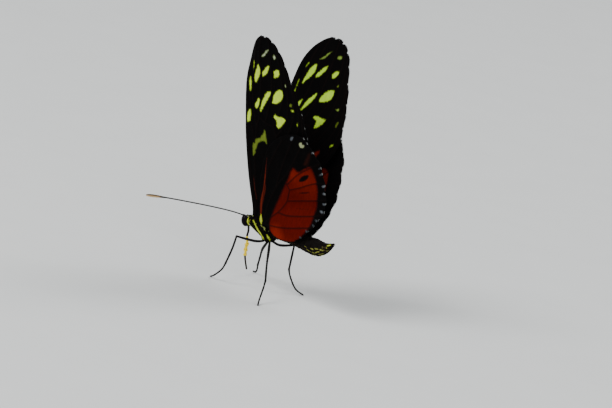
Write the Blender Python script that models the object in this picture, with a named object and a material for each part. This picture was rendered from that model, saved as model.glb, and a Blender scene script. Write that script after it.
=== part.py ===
# Tiger longwing, life size, standing on four legs with its wings raised over its back.
# The body axis runs along X with the head at -X, the left side is at -Y and the floor is Z = 0.
# All sizes are in millimetres in a frame whose origin lies midway between the two forewing
# hinges. The finished meshes are scaled to metres and moved onto the floor at the end.
import math

import bmesh
import bpy
from mathutils import Vector
from mathutils.bvhtree import BVHTree
from mathutils.geometry import delaunay_2d_cdt

MM = 0.001

# Driving sizes
GAP = 0.32
FLOOR = -16.0
HINGE_HALF = 1.15
WING_HALF_THICK = 0.26
VEIN_RIDGE = 0.12
VEIN_HALF_WIDTH = 0.5
HINDWING_OFFSET = 1.1
ABDOMEN_CLEARANCE = 1.9
HINDWING_INWARD = 0.85
SCALLOP_DEPTH = 0.32
FEMUR_R = 0.36
TIBIA_R = 0.31
TARSUS_R = 0.27
ANTENNA_R = 0.25
ANTENNA_CLUB_R = 0.52
PROBOSCIS_R = 0.27
EYE_FLAT_Y = 0.92
EYE_BULGE = 0.82
EYE_HALF_LONG = 1.02
EYE_HALF_TALL = 1.3
HEAD_HALF_WIDTH = 0.6

# Directions of the left wing plane: base to apex, costa to trailing edge, outward
WING_U = Vector((0.019, -0.165, 0.986)).normalized()
WING_V = Vector((0.999, 0.049, -0.011)).normalized()
WING_N = Vector((0.047, -0.985, -0.166)).normalized()
# Bend of the wing plane out of flat, in millimetres at 45 mm of span and 20 mm of chord
BEND = (3.3, 2.65, -1.3)
# The front edge turns inward by this much beside the apex
CURL = 0.65

FOREWING_OUTLINE = [
    (0.3, -0.9), (1.8, -1.45), (4.0, -2.15), (6.5, -3.0), (9.5, -3.85), (13.0, -4.65),
    (16.5, -5.3), (20.0, -5.8), (24.0, -6.15), (28.0, -6.3), (32.0, -6.3), (35.0, -6.0),
    (37.6, -5.5), (40.0, -4.75), (42.0, -3.8), (43.6, -2.6), (44.7, -1.25), (45.2, 0.15),
    (45.2, 1.45), (44.9, 2.8), (44.2, 4.1), (43.2, 5.4), (41.8, 6.6), (40.0, 7.75),
    (38.2, 8.65), (36.5, 9.55), (34.2, 10.9), (31.4, 12.2), (29.3, 13.1), (26.9, 13.95),
    (24.7, 14.6), (22.5, 14.9), (20.0, 14.45), (15.0, 12.3), (10.0, 9.5), (5.0, 6.0),
    (2.2, 3.4), (0.5, 1.5),
]
# Spans of the outline, by index, whose edge is scalloped between the vein ends
FOREWING_SCALLOPED = (16, 31)
FOREWING_VEINS = [
    [(0.6, -0.5), (8.0, -2.5), (15.0, -4.2), (21.0, -5.6)],
    [(0.6, -0.1), (8.0, -1.2), (16.0, -2.2), (22.0, -1.9), (24.5, -1.0)],
    [(0.7, 0.4), (7.0, 2.6), (13.0, 4.4), (19.0, 5.0), (21.5, 4.8), (23.8, 3.6)],
    [(24.5, -1.0), (23.7, 1.4), (23.8, 3.6)],
    [(18.0, -2.3), (24.0, -4.3), (28.5, -5.9)],
    [(24.0, -4.3), (28.5, -4.6), (34.5, -5.6)],
    [(22.0, -1.9), (27.0, -3.3), (31.0, -3.8), (34.5, -3.75), (38.0, -3.5), (43.0, -2.9)],
    [(24.5, -1.0), (28.0, -1.15), (32.0, -0.9), (36.0, -0.95), (40.5, -1.5), (44.8, -0.9)],
    [(23.9, 0.9), (27.5, 2.0), (31.5, 2.85), (36.0, 2.85), (40.5, 2.4), (44.9, 1.75)],
    [(23.8, 3.6), (28.0, 5.6), (32.0, 6.9), (36.0, 6.4), (40.0, 5.5), (43.8, 4.15)],
    [(21.5, 4.8), (24.5, 7.0), (28.0, 8.3), (32.5, 8.4), (37.0, 7.6), (41.5, 6.25)],
    [(18.5, 5.0), (22.5, 8.2), (27.0, 10.1), (31.0, 10.5), (35.0, 9.6), (38.4, 8.0)],
    [(15.0, 4.6), (19.0, 8.6), (24.0, 11.4), (29.0, 12.0), (34.3, 10.3)],
    [(10.0, 3.6), (14.0, 8.2), (19.0, 11.9), (24.0, 13.3), (29.3, 12.6)],
    [(0.8, 0.9), (5.0, 4.6), (10.0, 7.9), (15.0, 10.9), (20.0, 13.4), (24.0, 14.3)],
]

HINDWING_OUTLINE = [
    (0.3, 2.9), (0.7, 1.9), (1.9, 1.55), (4.9, 1.5), (9.3, 1.2), (13.7, 1.7),
    (17.7, 2.8), (21.0, 5.2), (23.2, 8.4), (24.3, 11.5), (24.6, 13.6), (23.8, 15.4),
    (22.0, 17.25), (18.5, 19.25), (15.5, 20.2), (12.3, 20.7), (9.6, 20.9), (7.2, 20.6),
    (5.1, 19.8), (3.5, 18.9), (1.7, 17.85), (0.0, 16.35), (-1.0, 14.7), (-1.7, 11.7),
    (-1.8, 8.6), (-1.0, 6.4), (0.2, 4.9),
]
HINDWING_SCALLOPED = (9, 22)
# How far the right hindwing's outer margin is drawn in, by its distance along the span
RIGHT_DRAWN_IN = [
    (-2.0, 1.4), (1.0, 1.4), (2.9, 1.2), (4.2, 0.7), (5.7, 0.1), (7.5, -0.25), (9.5, -0.4),
    (11.3, -0.45), (13.0, -0.15), (15.0, 0.05), (17.5, 0.4), (19.8, 0.65), (21.0, 1.2),
    (22.2, 1.55), (24.0, 1.4), (26.0, 1.2),
]
HINDWING_VEINS = [
    [(0.8, 3.1), (6.0, 2.7), (13.0, 3.6), (18.0, 5.6), (21.8, 7.8)],
    [(0.8, 3.5), (6.0, 4.8), (11.0, 7.4), (14.0, 9.8)],
    [(0.8, 4.0), (2.2, 6.1), (4.0, 8.0), (5.7, 9.2), (7.3, 10.0), (9.0, 10.4), (10.3, 10.7)],
    [(10.3, 10.7), (11.3, 9.8), (12.0, 8.9), (12.3, 8.3)],
    [(9.0, 6.2), (15.0, 7.9), (20.0, 9.9), (23.7, 11.6)],
    [(14.0, 9.8), (19.0, 12.3), (24.0, 14.8)],
    [(11.3, 9.8), (13.1, 11.4), (14.7, 12.9), (16.6, 15.3), (19.0, 18.8)],
    [(10.3, 10.7), (11.5, 13.3), (12.7, 15.4), (13.7, 17.4), (14.6, 20.2)],
    [(7.3, 10.0), (8.2, 13.2), (8.9, 15.6), (9.6, 17.9), (10.4, 20.6)],
    [(4.0, 8.0), (4.0, 10.4), (4.4, 12.6), (5.3, 16.0), (6.0, 18.3), (6.8, 20.2)],
    [(0.7, 4.6), (0.6, 8.0), (1.5, 12.0), (2.8, 16.6), (3.4, 18.6)],
]

# Body sections along X: station, height of centre, half height, half width
THORAX_SECTIONS = [
    (-2.45, -1.62, 0.78, 0.75), (-2.1, -1.58, 1.22, 1.15), (-1.5, -1.47, 1.46, 1.52),
    (-0.6, -1.5, 1.6, 1.75), (0.6, -1.73, 1.78, 1.93), (1.9, -2.1, 1.9, 1.96),
    (3.2, -2.6, 1.95, 1.85), (4.2, -2.65, 1.6, 1.5), (4.9, -2.6, 1.1, 1.1),
]
ABDOMEN_SECTIONS = [
    (5.22, -2.45, 1.05, 1.08), (7.4, -2.1, 1.22, 1.2), (9.9, -1.85, 1.32, 1.32),
    (12.4, -1.72, 1.46, 1.48), (14.8, -1.62, 1.64, 1.66), (17.2, -1.56, 1.85, 1.8),
    (19.3, -1.53, 1.95, 1.86), (21.2, -1.42, 1.66, 1.62), (22.7, -0.88, 1.23, 1.2),
    (23.9, -0.06, 0.8, 0.76), (24.7, 0.68, 0.36, 0.34),
]
HEAD_SECTIONS = [
    (-4.98, -2.35, 0.5, 0.42), (-4.75, -2.3, 0.88, 0.56), (-4.25, -2.15, 1.16, 0.6),
    (-3.7, -2.0, 1.26, 0.6), (-3.2, -1.85, 1.08, 0.58), (-2.8, -1.7, 0.78, 0.52),
]

# Paths of the limbs, left side at -Y
ANTENNA_LEFT_PATH = [
    (-4.45, -0.5, -1.05), (-5.2, -0.95, -0.9), (-6.9, -2.3, -0.68), (-9.2, -4.4, -0.55),
    (-12.0, -7.0, -0.5), (-16.2, -10.9, -0.55), (-18.6, -13.2, -0.62), (-20.4, -15.0, -0.76),
    (-21.9, -16.4, -0.93),
]
# The right feeler is hidden in the photograph, so it lies along the line of sight
ANTENNA_RIGHT_PATH = [
    (-4.45, 0.5, -1.05), (-5.2, 1.15, -1.15), (-6.7, 2.65, -1.7), (-8.8, 4.85, -2.45),
    (-11.4, 7.6, -3.3), (-14.2, 10.6, -4.2), (-17.2, 13.8, -5.25), (-20.3, 17.1, -6.45),
]
PROBOSCIS_PATH = [
    (-3.3, 0.0, -3.0), (-2.95, 0.0, -3.7), (-2.85, 0.0, -4.5), (-2.9, 0.0, -5.5),
    (-2.6, 0.0, -6.7), (-2.5, 0.0, -8.1), (-2.35, 0.0, -10.1), (-1.7, 0.0, -11.7),
    (-0.95, 0.0, -13.1),
]
PALP_PATH = [(-4.1, -0.42, -3.0), (-4.75, -0.5, -3.5), (-5.3, -0.5, -3.3), (-5.6, -0.45, -2.7)]
FORELEG_PATH = [(-1.5, -1.4, -1.95), (-0.8, -1.5, -2.3), (0.1, -1.6, -2.65), (1.1, -1.7, -2.95)]
LEGS = {
    "midleg_left": [
        [(3.7, -1.0, -4.8), (3.2, -3.5, -4.85), (0.75, -7.3, -4.35)],
        [(0.75, -7.3, -4.35), (0.45, -7.6, -7.45), (-0.3, -8.05, -11.2)],
        [(-0.3, -8.05, -11.2), (-1.4, -7.8, -13.1), (-3.2, -8.0, -15.0), (-4.75, -7.55, -15.86)],
    ],
    "midleg_right": [
        [(3.3, 1.0, -4.8), (0.45, 2.6, -7.55), (-1.5, 4.35, -9.3)],
        [(-1.5, 4.35, -9.3), (-3.1, 5.9, -11.3), (-4.6, 7.3, -13.3)],
        [(-4.6, 7.3, -13.3), (-5.2, 8.0, -14.5), (-6.0, 8.6, -15.5), (-7.4, 9.2, -15.86)],
    ],
    "hindleg_left": [
        [(5.2, -0.8, -4.6), (7.8, -3.1, -5.85), (10.25, -5.5, -7.6)],
        [(10.25, -5.5, -7.6), (12.0, -7.0, -9.5), (13.6, -8.3, -11.2)],
        [(13.6, -8.3, -11.2), (14.6, -9.6, -12.8), (15.8, -11.4, -15.0), (17.3, -13.1, -15.86)],
    ],
    "hindleg_right": [
        [(4.6, 0.9, -4.7), (5.9, 2.4, -5.2), (8.15, 4.7, -4.55)],
        [(8.15, 4.7, -4.55), (8.15, 4.65, -7.2), (8.3, 4.4, -10.4)],
        [(8.3, 4.4, -10.4), (8.7, 4.9, -12.1), (9.95, 6.1, -14.7), (11.4, 7.6, -15.86)],
    ],
}

COLOURS = {
    "head": (0.02, 0.018, 0.016), "eye": (0.012, 0.008, 0.01), "palp": (0.3, 0.3, 0.08),
    "antenna": (0.02, 0.016, 0.012), "proboscis": (0.35, 0.2, 0.03),
    "thorax": (0.025, 0.02, 0.015), "abdomen": (0.035, 0.025, 0.015),
    "forewing": (0.012, 0.01, 0.01), "hindwing": (0.2, 0.02, 0.008),
    "leg": (0.012, 0.01, 0.01),
}


def smooth(t):
    t = min(max(t, 0.0), 1.0)
    return t * t * (3.0 - 2.0 * t)


def catmull(points, step, closed=False):
    # Even samples of a smooth curve through the points.
    pts = [Vector(p) for p in points]
    count = len(pts)
    out = []
    last = count if closed else count - 1
    for i in range(last):
        if closed:
            p0, p1, p2, p3 = (pts[(i + k - 1) % count] for k in range(4))
        else:
            p0 = pts[max(i - 1, 0)]
            p1 = pts[i]
            p2 = pts[i + 1]
            p3 = pts[min(i + 2, count - 1)]
        parts = max(1, round((p2 - p1).length / step))
        for k in range(parts):
            t = k / parts
            a = 2.0 * p1
            b = (p2 - p0) * t
            c = (2.0 * p0 - 5.0 * p1 + 4.0 * p2 - p3) * t * t
            d = (3.0 * p1 - p0 - 3.0 * p2 + p3) * t * t * t
            out.append((0.5 * (a + b + c + d), i))
    if not closed:
        out.append((pts[-1], last))
    return out


def fore_surface(u, v):
    # Middle surface of the left forewing.
    w = BEND[0] * (u / 45) ** 2 + BEND[1] * (u / 45) * (v / 20) + BEND[2] * (v / 20) ** 2
    w -= CURL * smooth((-v - 1.5) / 4.0) * smooth((u - 31.0) / 8.0)
    return Vector((0.0, -HINGE_HALF, 0.0)) + u * WING_U + v * WING_V + w * WING_N


def hind_surface(u, v):
    # Middle surface of the left hindwing, bulged outward where it passes the abdomen.
    # Behind the forewing's rear edge it curves back toward the body's middle.
    fold = ABDOMEN_CLEARANCE * smooth((8.0 - u) / 8.0) * smooth((v - 0.5) / 13.0)
    rear_edge = 1.6 + 0.95 * u - 0.0165 * u * u
    inward = HINDWING_INWARD * smooth((v - rear_edge - 0.4) / 6.0)
    inward *= 1.0 - smooth((9.0 - u) / 8.0)
    return fore_surface(u, v) + (HINDWING_OFFSET + fold - inward) * WING_N


def right_hind_surface(u, v):
    # The right hindwing as it lies on the left: its outer part is drawn in or let out.
    drawn = 0.0
    for (a, low), (b, high) in zip(RIGHT_DRAWN_IN, RIGHT_DRAWN_IN[1:]):
        if a <= u <= b:
            drawn = low + (high - low) * smooth((u - a) / (b - a))
    return hind_surface(u, v - drawn * smooth((v - 6.0) / 9.0))


def distance_to_lines(p, lines):
    best = 1e9
    for line in lines:
        for a, b in zip(line, line[1:]):
            ab = b - a
            t = min(max((p - a).dot(ab) / max(ab.dot(ab), 1e-9), 0.0), 1.0)
            best = min(best, (a + ab * t - p).length)
    return best


def inside(p, loop):
    hit = False
    j = len(loop) - 1
    for i in range(len(loop)):
        a, b = loop[i], loop[j]
        if (a.y > p.y) != (b.y > p.y):
            if p.x < (b.x - a.x) * (p.y - a.y) / (b.y - a.y) + a.x:
                hit = not hit
        j = i
    return hit


def wing_outline(outline, scalloped, veins):
    # Outer margin waves inward a little between the vein ends.
    ends = [Vector(line[-1]) for line in veins]
    loop = []
    for p, i in catmull(outline, 1.35, closed=True):
        if scalloped[0] <= i < scalloped[1]:
            near = min((p - e).length for e in ends)
            centre = Vector((12.0, 6.0))
            inward = (centre - p).normalized()
            p = p + inward * SCALLOP_DEPTH * smooth(near / 1.6)
        loop.append(p)
    return loop


def wing_mesh(outline, scalloped, veins, surface, spacing):
    # A thin curved plate, triangulated alike on both faces, with the veins raised as ridges.
    loop = wing_outline(outline, scalloped, veins)
    lines = [[q for q, _ in catmull(line, 2.6)] for line in veins]
    rim = [[loop[i], loop[(i + 1) % len(loop)]] for i in range(len(loop))]
    points = list(loop)
    edges = []
    crest = []
    for line in lines:
        ids = []
        for q in line:
            found = None
            for k, other in enumerate(crest):
                if (other - q).length < 0.35:
                    found = len(loop) + k
            if found is None:
                crest.append(q)
                found = len(loop) + len(crest) - 1
            ids.append(found)
        edges.extend((a, b) for a, b in zip(ids, ids[1:]) if a != b)
    points.extend(crest)
    extra = []

    def keep(q, from_vein, from_rim, from_extra):
        if not inside(q, loop):
            return False
        if distance_to_lines(q, lines) < from_vein:
            return False
        if distance_to_lines(q, rim) < from_rim:
            return False
        return all((q - e).length > from_extra for e in extra)

    for line in lines:
        for a, b in zip(line, line[1:]):
            along = (b - a).normalized()
            across = Vector((-along.y, along.x))
            mid = (a + b) * 0.5
            for s in (-1.0, 1.0):
                q = mid + across * s * (VEIN_HALF_WIDTH + 0.02)
                if keep(q, VEIN_HALF_WIDTH - 0.05, 0.5, 0.5):
                    extra.append(q)
    low = Vector((min(p.x for p in loop), min(p.y for p in loop)))
    high = Vector((max(p.x for p in loop), max(p.y for p in loop)))
    row = 0
    y = low.y
    while y < high.y:
        x = low.x + (0.5 * spacing if row % 2 else 0.0)
        while x < high.x:
            q = Vector((x, y))
            if keep(q, 0.9, 1.1, 1.2):
                extra.append(q)
            x += spacing
        y += spacing * 0.87
        row += 1
    points.extend(extra)
    result = delaunay_2d_cdt(points, edges, [list(range(len(loop)))], 1, 0.01)
    flat, _, faces = result[0], result[1], result[2]
    return plate(flat, faces, lines, rim, surface)


def plate(flat, faces, lines, rim, surface):
    bm = bmesh.new()
    top = []
    bottom = []
    for q in flat:
        q = Vector(q)
        ridge = VEIN_RIDGE * max(0.0, 1.0 - distance_to_lines(q, lines) / VEIN_HALF_WIDTH)
        ridge *= smooth(distance_to_lines(q, rim) / 0.8)
        half = WING_HALF_THICK + ridge
        middle = surface(q.x, q.y)
        top.append(bm.verts.new(middle + WING_N * half))
        bottom.append(bm.verts.new(middle - WING_N * half))
    border = {}
    for face in faces:
        for a, b in zip(face, face[1:] + face[:1]):
            border[(a, b)] = True
    for face in faces:
        bm.faces.new([top[i] for i in face])
        bm.faces.new([bottom[i] for i in reversed(face)])
    for a, b in list(border):
        if (b, a) not in border:
            bm.faces.new([top[b], top[a], bottom[a], bottom[b]])
    bmesh.ops.triangulate(bm, faces=bm.faces[:])
    bmesh.ops.recalc_face_normals(bm, faces=bm.faces[:])
    return bm


def loft(sections, sides, power=2.0, clamp=None, nose=0.0, tail=0.0):
    # Rings across X joined into a closed body; nose and tail are the lengths of the end domes.
    bm = bmesh.new()
    rings = []
    for x, zc, hh, hw in sections:
        ring = []
        for k in range(sides):
            a = 2.0 * math.pi * k / sides
            c, s = math.cos(a), math.sin(a)
            y = hw * math.copysign(abs(c) ** (2.0 / power), c)
            z = hh * math.copysign(abs(s) ** (2.0 / power), s)
            if clamp:
                y = min(max(y, -clamp), clamp)
            ring.append(bm.verts.new((x, y, zc + z)))
        rings.append(ring)
    for a, b in zip(rings, rings[1:]):
        for k in range(sides):
            m = (k + 1) % sides
            bm.faces.new((a[k], b[k], b[m], a[m]))
    first, final = sections[0], sections[-1]
    start = bm.verts.new((first[0] - nose, 0.0, first[1]))
    end = bm.verts.new((final[0] + tail, 0.0, final[1] + tail * 0.3))
    for k in range(sides):
        m = (k + 1) % sides
        bm.faces.new((start, rings[0][k], rings[0][m]))
        bm.faces.new((end, rings[-1][m], rings[-1][k]))
    bmesh.ops.recalc_face_normals(bm, faces=bm.faces[:])
    return bm


def segmented(sections, grooves):
    # Adds a shallow groove between the rings of the abdomen.
    out = []
    for (a, b) in zip(sections, sections[1:]):
        out.append(a)
        middle = [(p + q) * 0.5 for p, q in zip(a, b)]
        out.append((middle[0], middle[1], middle[2] + grooves, middle[3] + grooves))
    out.append(sections[-1])
    return out


def tube(path, radii, sides, rounded=True):
    # A tapering round limb along the path with domed ends.
    pts = [Vector(p) for p in path]
    bm = bmesh.new()
    tangents = []
    for i in range(len(pts)):
        a = pts[max(i - 1, 0)]
        b = pts[min(i + 1, len(pts) - 1)]
        tangents.append((b - a).normalized())
    side = tangents[0].orthogonal().normalized()
    rings = []
    centres = []
    for i, (p, t) in enumerate(zip(pts, tangents)):
        side = (side - t * side.dot(t)).normalized()
        up = t.cross(side)
        stops = [(0.0, 1.0)]
        if rounded and i == 0:
            stops = [(-0.87, 0.5), (0.0, 1.0)]
        if rounded and i == len(pts) - 1:
            stops = [(0.0, 1.0), (0.87, 0.5)]
        for shift, scale in stops:
            centre = p + t * shift * radii[i]
            ring = []
            for k in range(sides):
                a = 2.0 * math.pi * k / sides
                r = radii[i] * scale
                ring.append(bm.verts.new(centre + (side * math.cos(a) + up * math.sin(a)) * r))
            rings.append(ring)
            centres.append(centre)
    for a, b in zip(rings, rings[1:]):
        for k in range(sides):
            m = (k + 1) % sides
            bm.faces.new((a[k], a[m], b[m], b[k]))
    reach = 1.0 if rounded else 0.0
    start = bm.verts.new(pts[0] - tangents[0] * radii[0] * reach)
    end = bm.verts.new(pts[-1] + tangents[-1] * radii[-1] * reach)
    for k in range(sides):
        m = (k + 1) % sides
        bm.faces.new((start, rings[0][m], rings[0][k]))
        bm.faces.new((end, rings[-1][k], rings[-1][m]))
    bmesh.ops.recalc_face_normals(bm, faces=bm.faces[:])
    return bm


def resample(path, step):
    return [p for p, _ in catmull(path, step)]


def pull_clear(path, bodies, radius):
    # Shortens the start of a path until its domed end stands one gap off every body.
    pts = [Vector(p) for p in path]
    for i in range(len(pts) - 1):
        for k in range(60):
            p = pts[i].lerp(pts[i + 1], k / 60.0)
            nearest = min(tree.find_nearest(p)[3] for tree in bodies)
            outside = all(is_outside(tree, p) for tree in bodies)
            if outside and nearest >= GAP + radius:
                rest = [q for q in pts[i + 1:] if (q - p).length > 0.3 * radius]
                return [p] + rest
    return pts


def is_outside(tree, p):
    hit, normal, _, _ = tree.find_nearest(p)
    return (p - hit).dot(normal) > 0.0


def shorten(path, amount, at_end):
    pts = [Vector(p) for p in path]
    if at_end:
        step = pts[-2] - pts[-1]
        pts[-1] = pts[-1] + step.normalized() * amount
    else:
        step = pts[1] - pts[0]
        pts[0] = pts[0] + step.normalized() * amount
    return pts


def eye_mesh(side):
    # A dome with its flat face toward the head.
    bm = bmesh.new()
    sides = 20
    rings = []
    for j in range(5):
        a = math.radians((0, 22, 44, 62, 78)[j])
        ring = []
        for k in range(sides):
            b = 2.0 * math.pi * k / sides
            x = -3.72 + EYE_HALF_LONG * math.cos(a) * math.cos(b)
            z = -1.98 + EYE_HALF_TALL * math.cos(a) * math.sin(b)
            ring.append(bm.verts.new((x, side * (EYE_FLAT_Y + EYE_BULGE * math.sin(a)), z)))
        rings.append(ring)
    for a, b in zip(rings, rings[1:]):
        for k in range(sides):
            m = (k + 1) % sides
            bm.faces.new((a[k], a[m], b[m], b[k]))
    inner = bm.verts.new((-3.72, side * EYE_FLAT_Y, -1.98))
    outer = bm.verts.new((-3.72, side * (EYE_FLAT_Y + EYE_BULGE), -1.98))
    for k in range(sides):
        m = (k + 1) % sides
        bm.faces.new((inner, rings[0][m], rings[0][k]))
        bm.faces.new((outer, rings[-1][k], rings[-1][m]))
    bmesh.ops.recalc_face_normals(bm, faces=bm.faces[:])
    return bm


def flatten_foot(bm):
    # A small flat pad where the foot rests on the floor.
    geom = bm.verts[:] + bm.edges[:] + bm.faces[:]
    cut = bmesh.ops.bisect_plane(
        bm, geom=geom, plane_co=(0.0, 0.0, FLOOR), plane_no=(0.0, 0.0, -1.0), clear_outer=True
    )
    rim = [e for e in cut["geom_cut"] if isinstance(e, bmesh.types.BMEdge)]
    bmesh.ops.contextual_create(bm, geom=rim)
    bmesh.ops.triangulate(bm, faces=bm.faces[:])
    bmesh.ops.recalc_face_normals(bm, faces=bm.faces[:])
    return bm


def mirror(bm):
    for v in bm.verts:
        v.co.y = -v.co.y
    bmesh.ops.reverse_faces(bm, faces=bm.faces[:])
    return bm


def material(name, colour, rough=0.6):
    mat = bpy.data.materials.new(name)
    mat.use_nodes = True
    shader = mat.node_tree.nodes["Principled BSDF"]
    shader.inputs["Base Color"].default_value = (*colour, 1.0)
    shader.inputs["Roughness"].default_value = rough
    mat.diffuse_color = (*colour, 1.0)
    return mat


def finish(name, bm, kind, smooth_faces=True):
    mesh = bpy.data.meshes.new(name)
    bm.normal_update()
    bm.to_mesh(mesh)
    bm.free()
    for polygon in mesh.polygons:
        polygon.use_smooth = smooth_faces
    mesh.materials.append(material("mat_" + name, COLOURS[kind]))
    obj = bpy.data.objects.new(name, mesh)
    bpy.context.scene.collection.objects.link(obj)
    return obj


def tree_of(bm):
    copy = bm.copy()
    bmesh.ops.triangulate(copy, faces=copy.faces[:])
    tree = BVHTree.FromBMesh(copy)
    copy.free()
    return tree


def joined(name, bodies):
    # One closed body out of several overlapping ones, keeping only the largest shell.
    group = bpy.data.collections.new(name + "_pieces")
    bpy.context.scene.collection.children.link(group)
    made = []
    for k, bm in enumerate(bodies):
        mesh = bpy.data.meshes.new(name + "_piece")
        bm.to_mesh(mesh)
        bm.free()
        obj = bpy.data.objects.new(name + "_piece", mesh)
        made.append(obj)
        if k:
            group.objects.link(obj)
        else:
            bpy.context.scene.collection.objects.link(obj)
    cut = made[0].modifiers.new("join", "BOOLEAN")
    cut.operation = "UNION"
    cut.operand_type = "COLLECTION"
    cut.collection = group
    cut.solver = "MANIFOLD"
    graph = bpy.context.evaluated_depsgraph_get()
    result = bpy.data.meshes.new_from_object(made[0].evaluated_get(graph))
    for obj in made:
        bpy.data.objects.remove(obj)
    bpy.data.collections.remove(group)
    bm = bmesh.new()
    bm.from_mesh(result)
    bpy.data.meshes.remove(result)
    bmesh.ops.triangulate(bm, faces=bm.faces[:])
    return largest(bm)


def largest(bm):
    left = set(bm.faces)
    groups = []
    while left:
        start = left.pop()
        stack = [start]
        group = [start]
        while stack:
            for edge in stack.pop().edges:
                for other in edge.link_faces:
                    if other in left:
                        left.discard(other)
                        stack.append(other)
                        group.append(other)
        groups.append(group)
    groups.sort(key=len)
    drop = [f for group in groups[:-1] for f in group]
    bmesh.ops.delete(bm, geom=drop, context="FACES")
    loose = [v for v in bm.verts if not v.link_faces]
    bmesh.ops.delete(bm, geom=loose, context="VERTS")
    return bm


def ellipsoid(centre, radii, sides=14, rows=7):
    bm = bmesh.new()
    bmesh.ops.create_uvsphere(bm, u_segments=sides, v_segments=rows, radius=1.0)
    for v in bm.verts:
        v.co = Vector(centre) + Vector((v.co.x * radii[0], v.co.y * radii[1], v.co.z * radii[2]))
    return bm


def joint_step(before, after, r1, r2):
    # Length to leave out on each side of a bend so that two domed ends stand one gap apart.
    a = (before[-2] - before[-1]).normalized()
    b = (after[1] - after[0]).normalized()
    half = 0.5 * math.acos(min(max(a.dot(b), -1.0), 1.0))
    return (r1 + r2 + GAP) * 0.5 / max(math.sin(half), 0.3)


def leg_parts(name, spec, bodies):
    # Thigh, shank and foot, one gap apart at each joint.
    thigh, shank, foot = spec
    thigh = pull_clear(resample(thigh, 1.6), bodies, FEMUR_R)
    shank = resample(shank, 1.6)
    foot = resample(foot, 1.0)
    knee = joint_step(thigh, shank, FEMUR_R * 0.86, TIBIA_R)
    ankle = joint_step(shank, foot, TIBIA_R * 0.9, TARSUS_R)
    thigh = shorten(thigh, knee, True)
    shank = shorten(shank, knee, False)
    shank = shorten(shank, ankle, True)
    foot = shorten(foot, ankle, False)
    out = []
    widths = [FEMUR_R * (1.0 - 0.14 * k / (len(thigh) - 1)) for k in range(len(thigh))]
    out.append(finish("femur_" + name, tube(thigh, widths, 9), "leg"))
    widths = [TIBIA_R * (1.0 - 0.1 * k / (len(shank) - 1)) for k in range(len(shank))]
    out.append(finish("tibia_" + name, tube(shank, widths, 9), "leg"))
    widths = [TARSUS_R * (1.0 - 0.04 * k / (len(foot) - 1)) for k in range(len(foot))]
    out.append(finish("tarsus_" + name, flatten_foot(tube(foot, widths, 8)), "leg"))
    return out


def stalk(root, tip, root_r, tip_r, bodies):
    path = [Vector(root).lerp(Vector(tip), k / 6.0) for k in range(7)]
    path = pull_clear(path, bodies, root_r)
    widths = [root_r + (tip_r - root_r) * k / (len(path) - 1) for k in range(len(path))]
    return tube(path, widths, 10)


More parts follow.
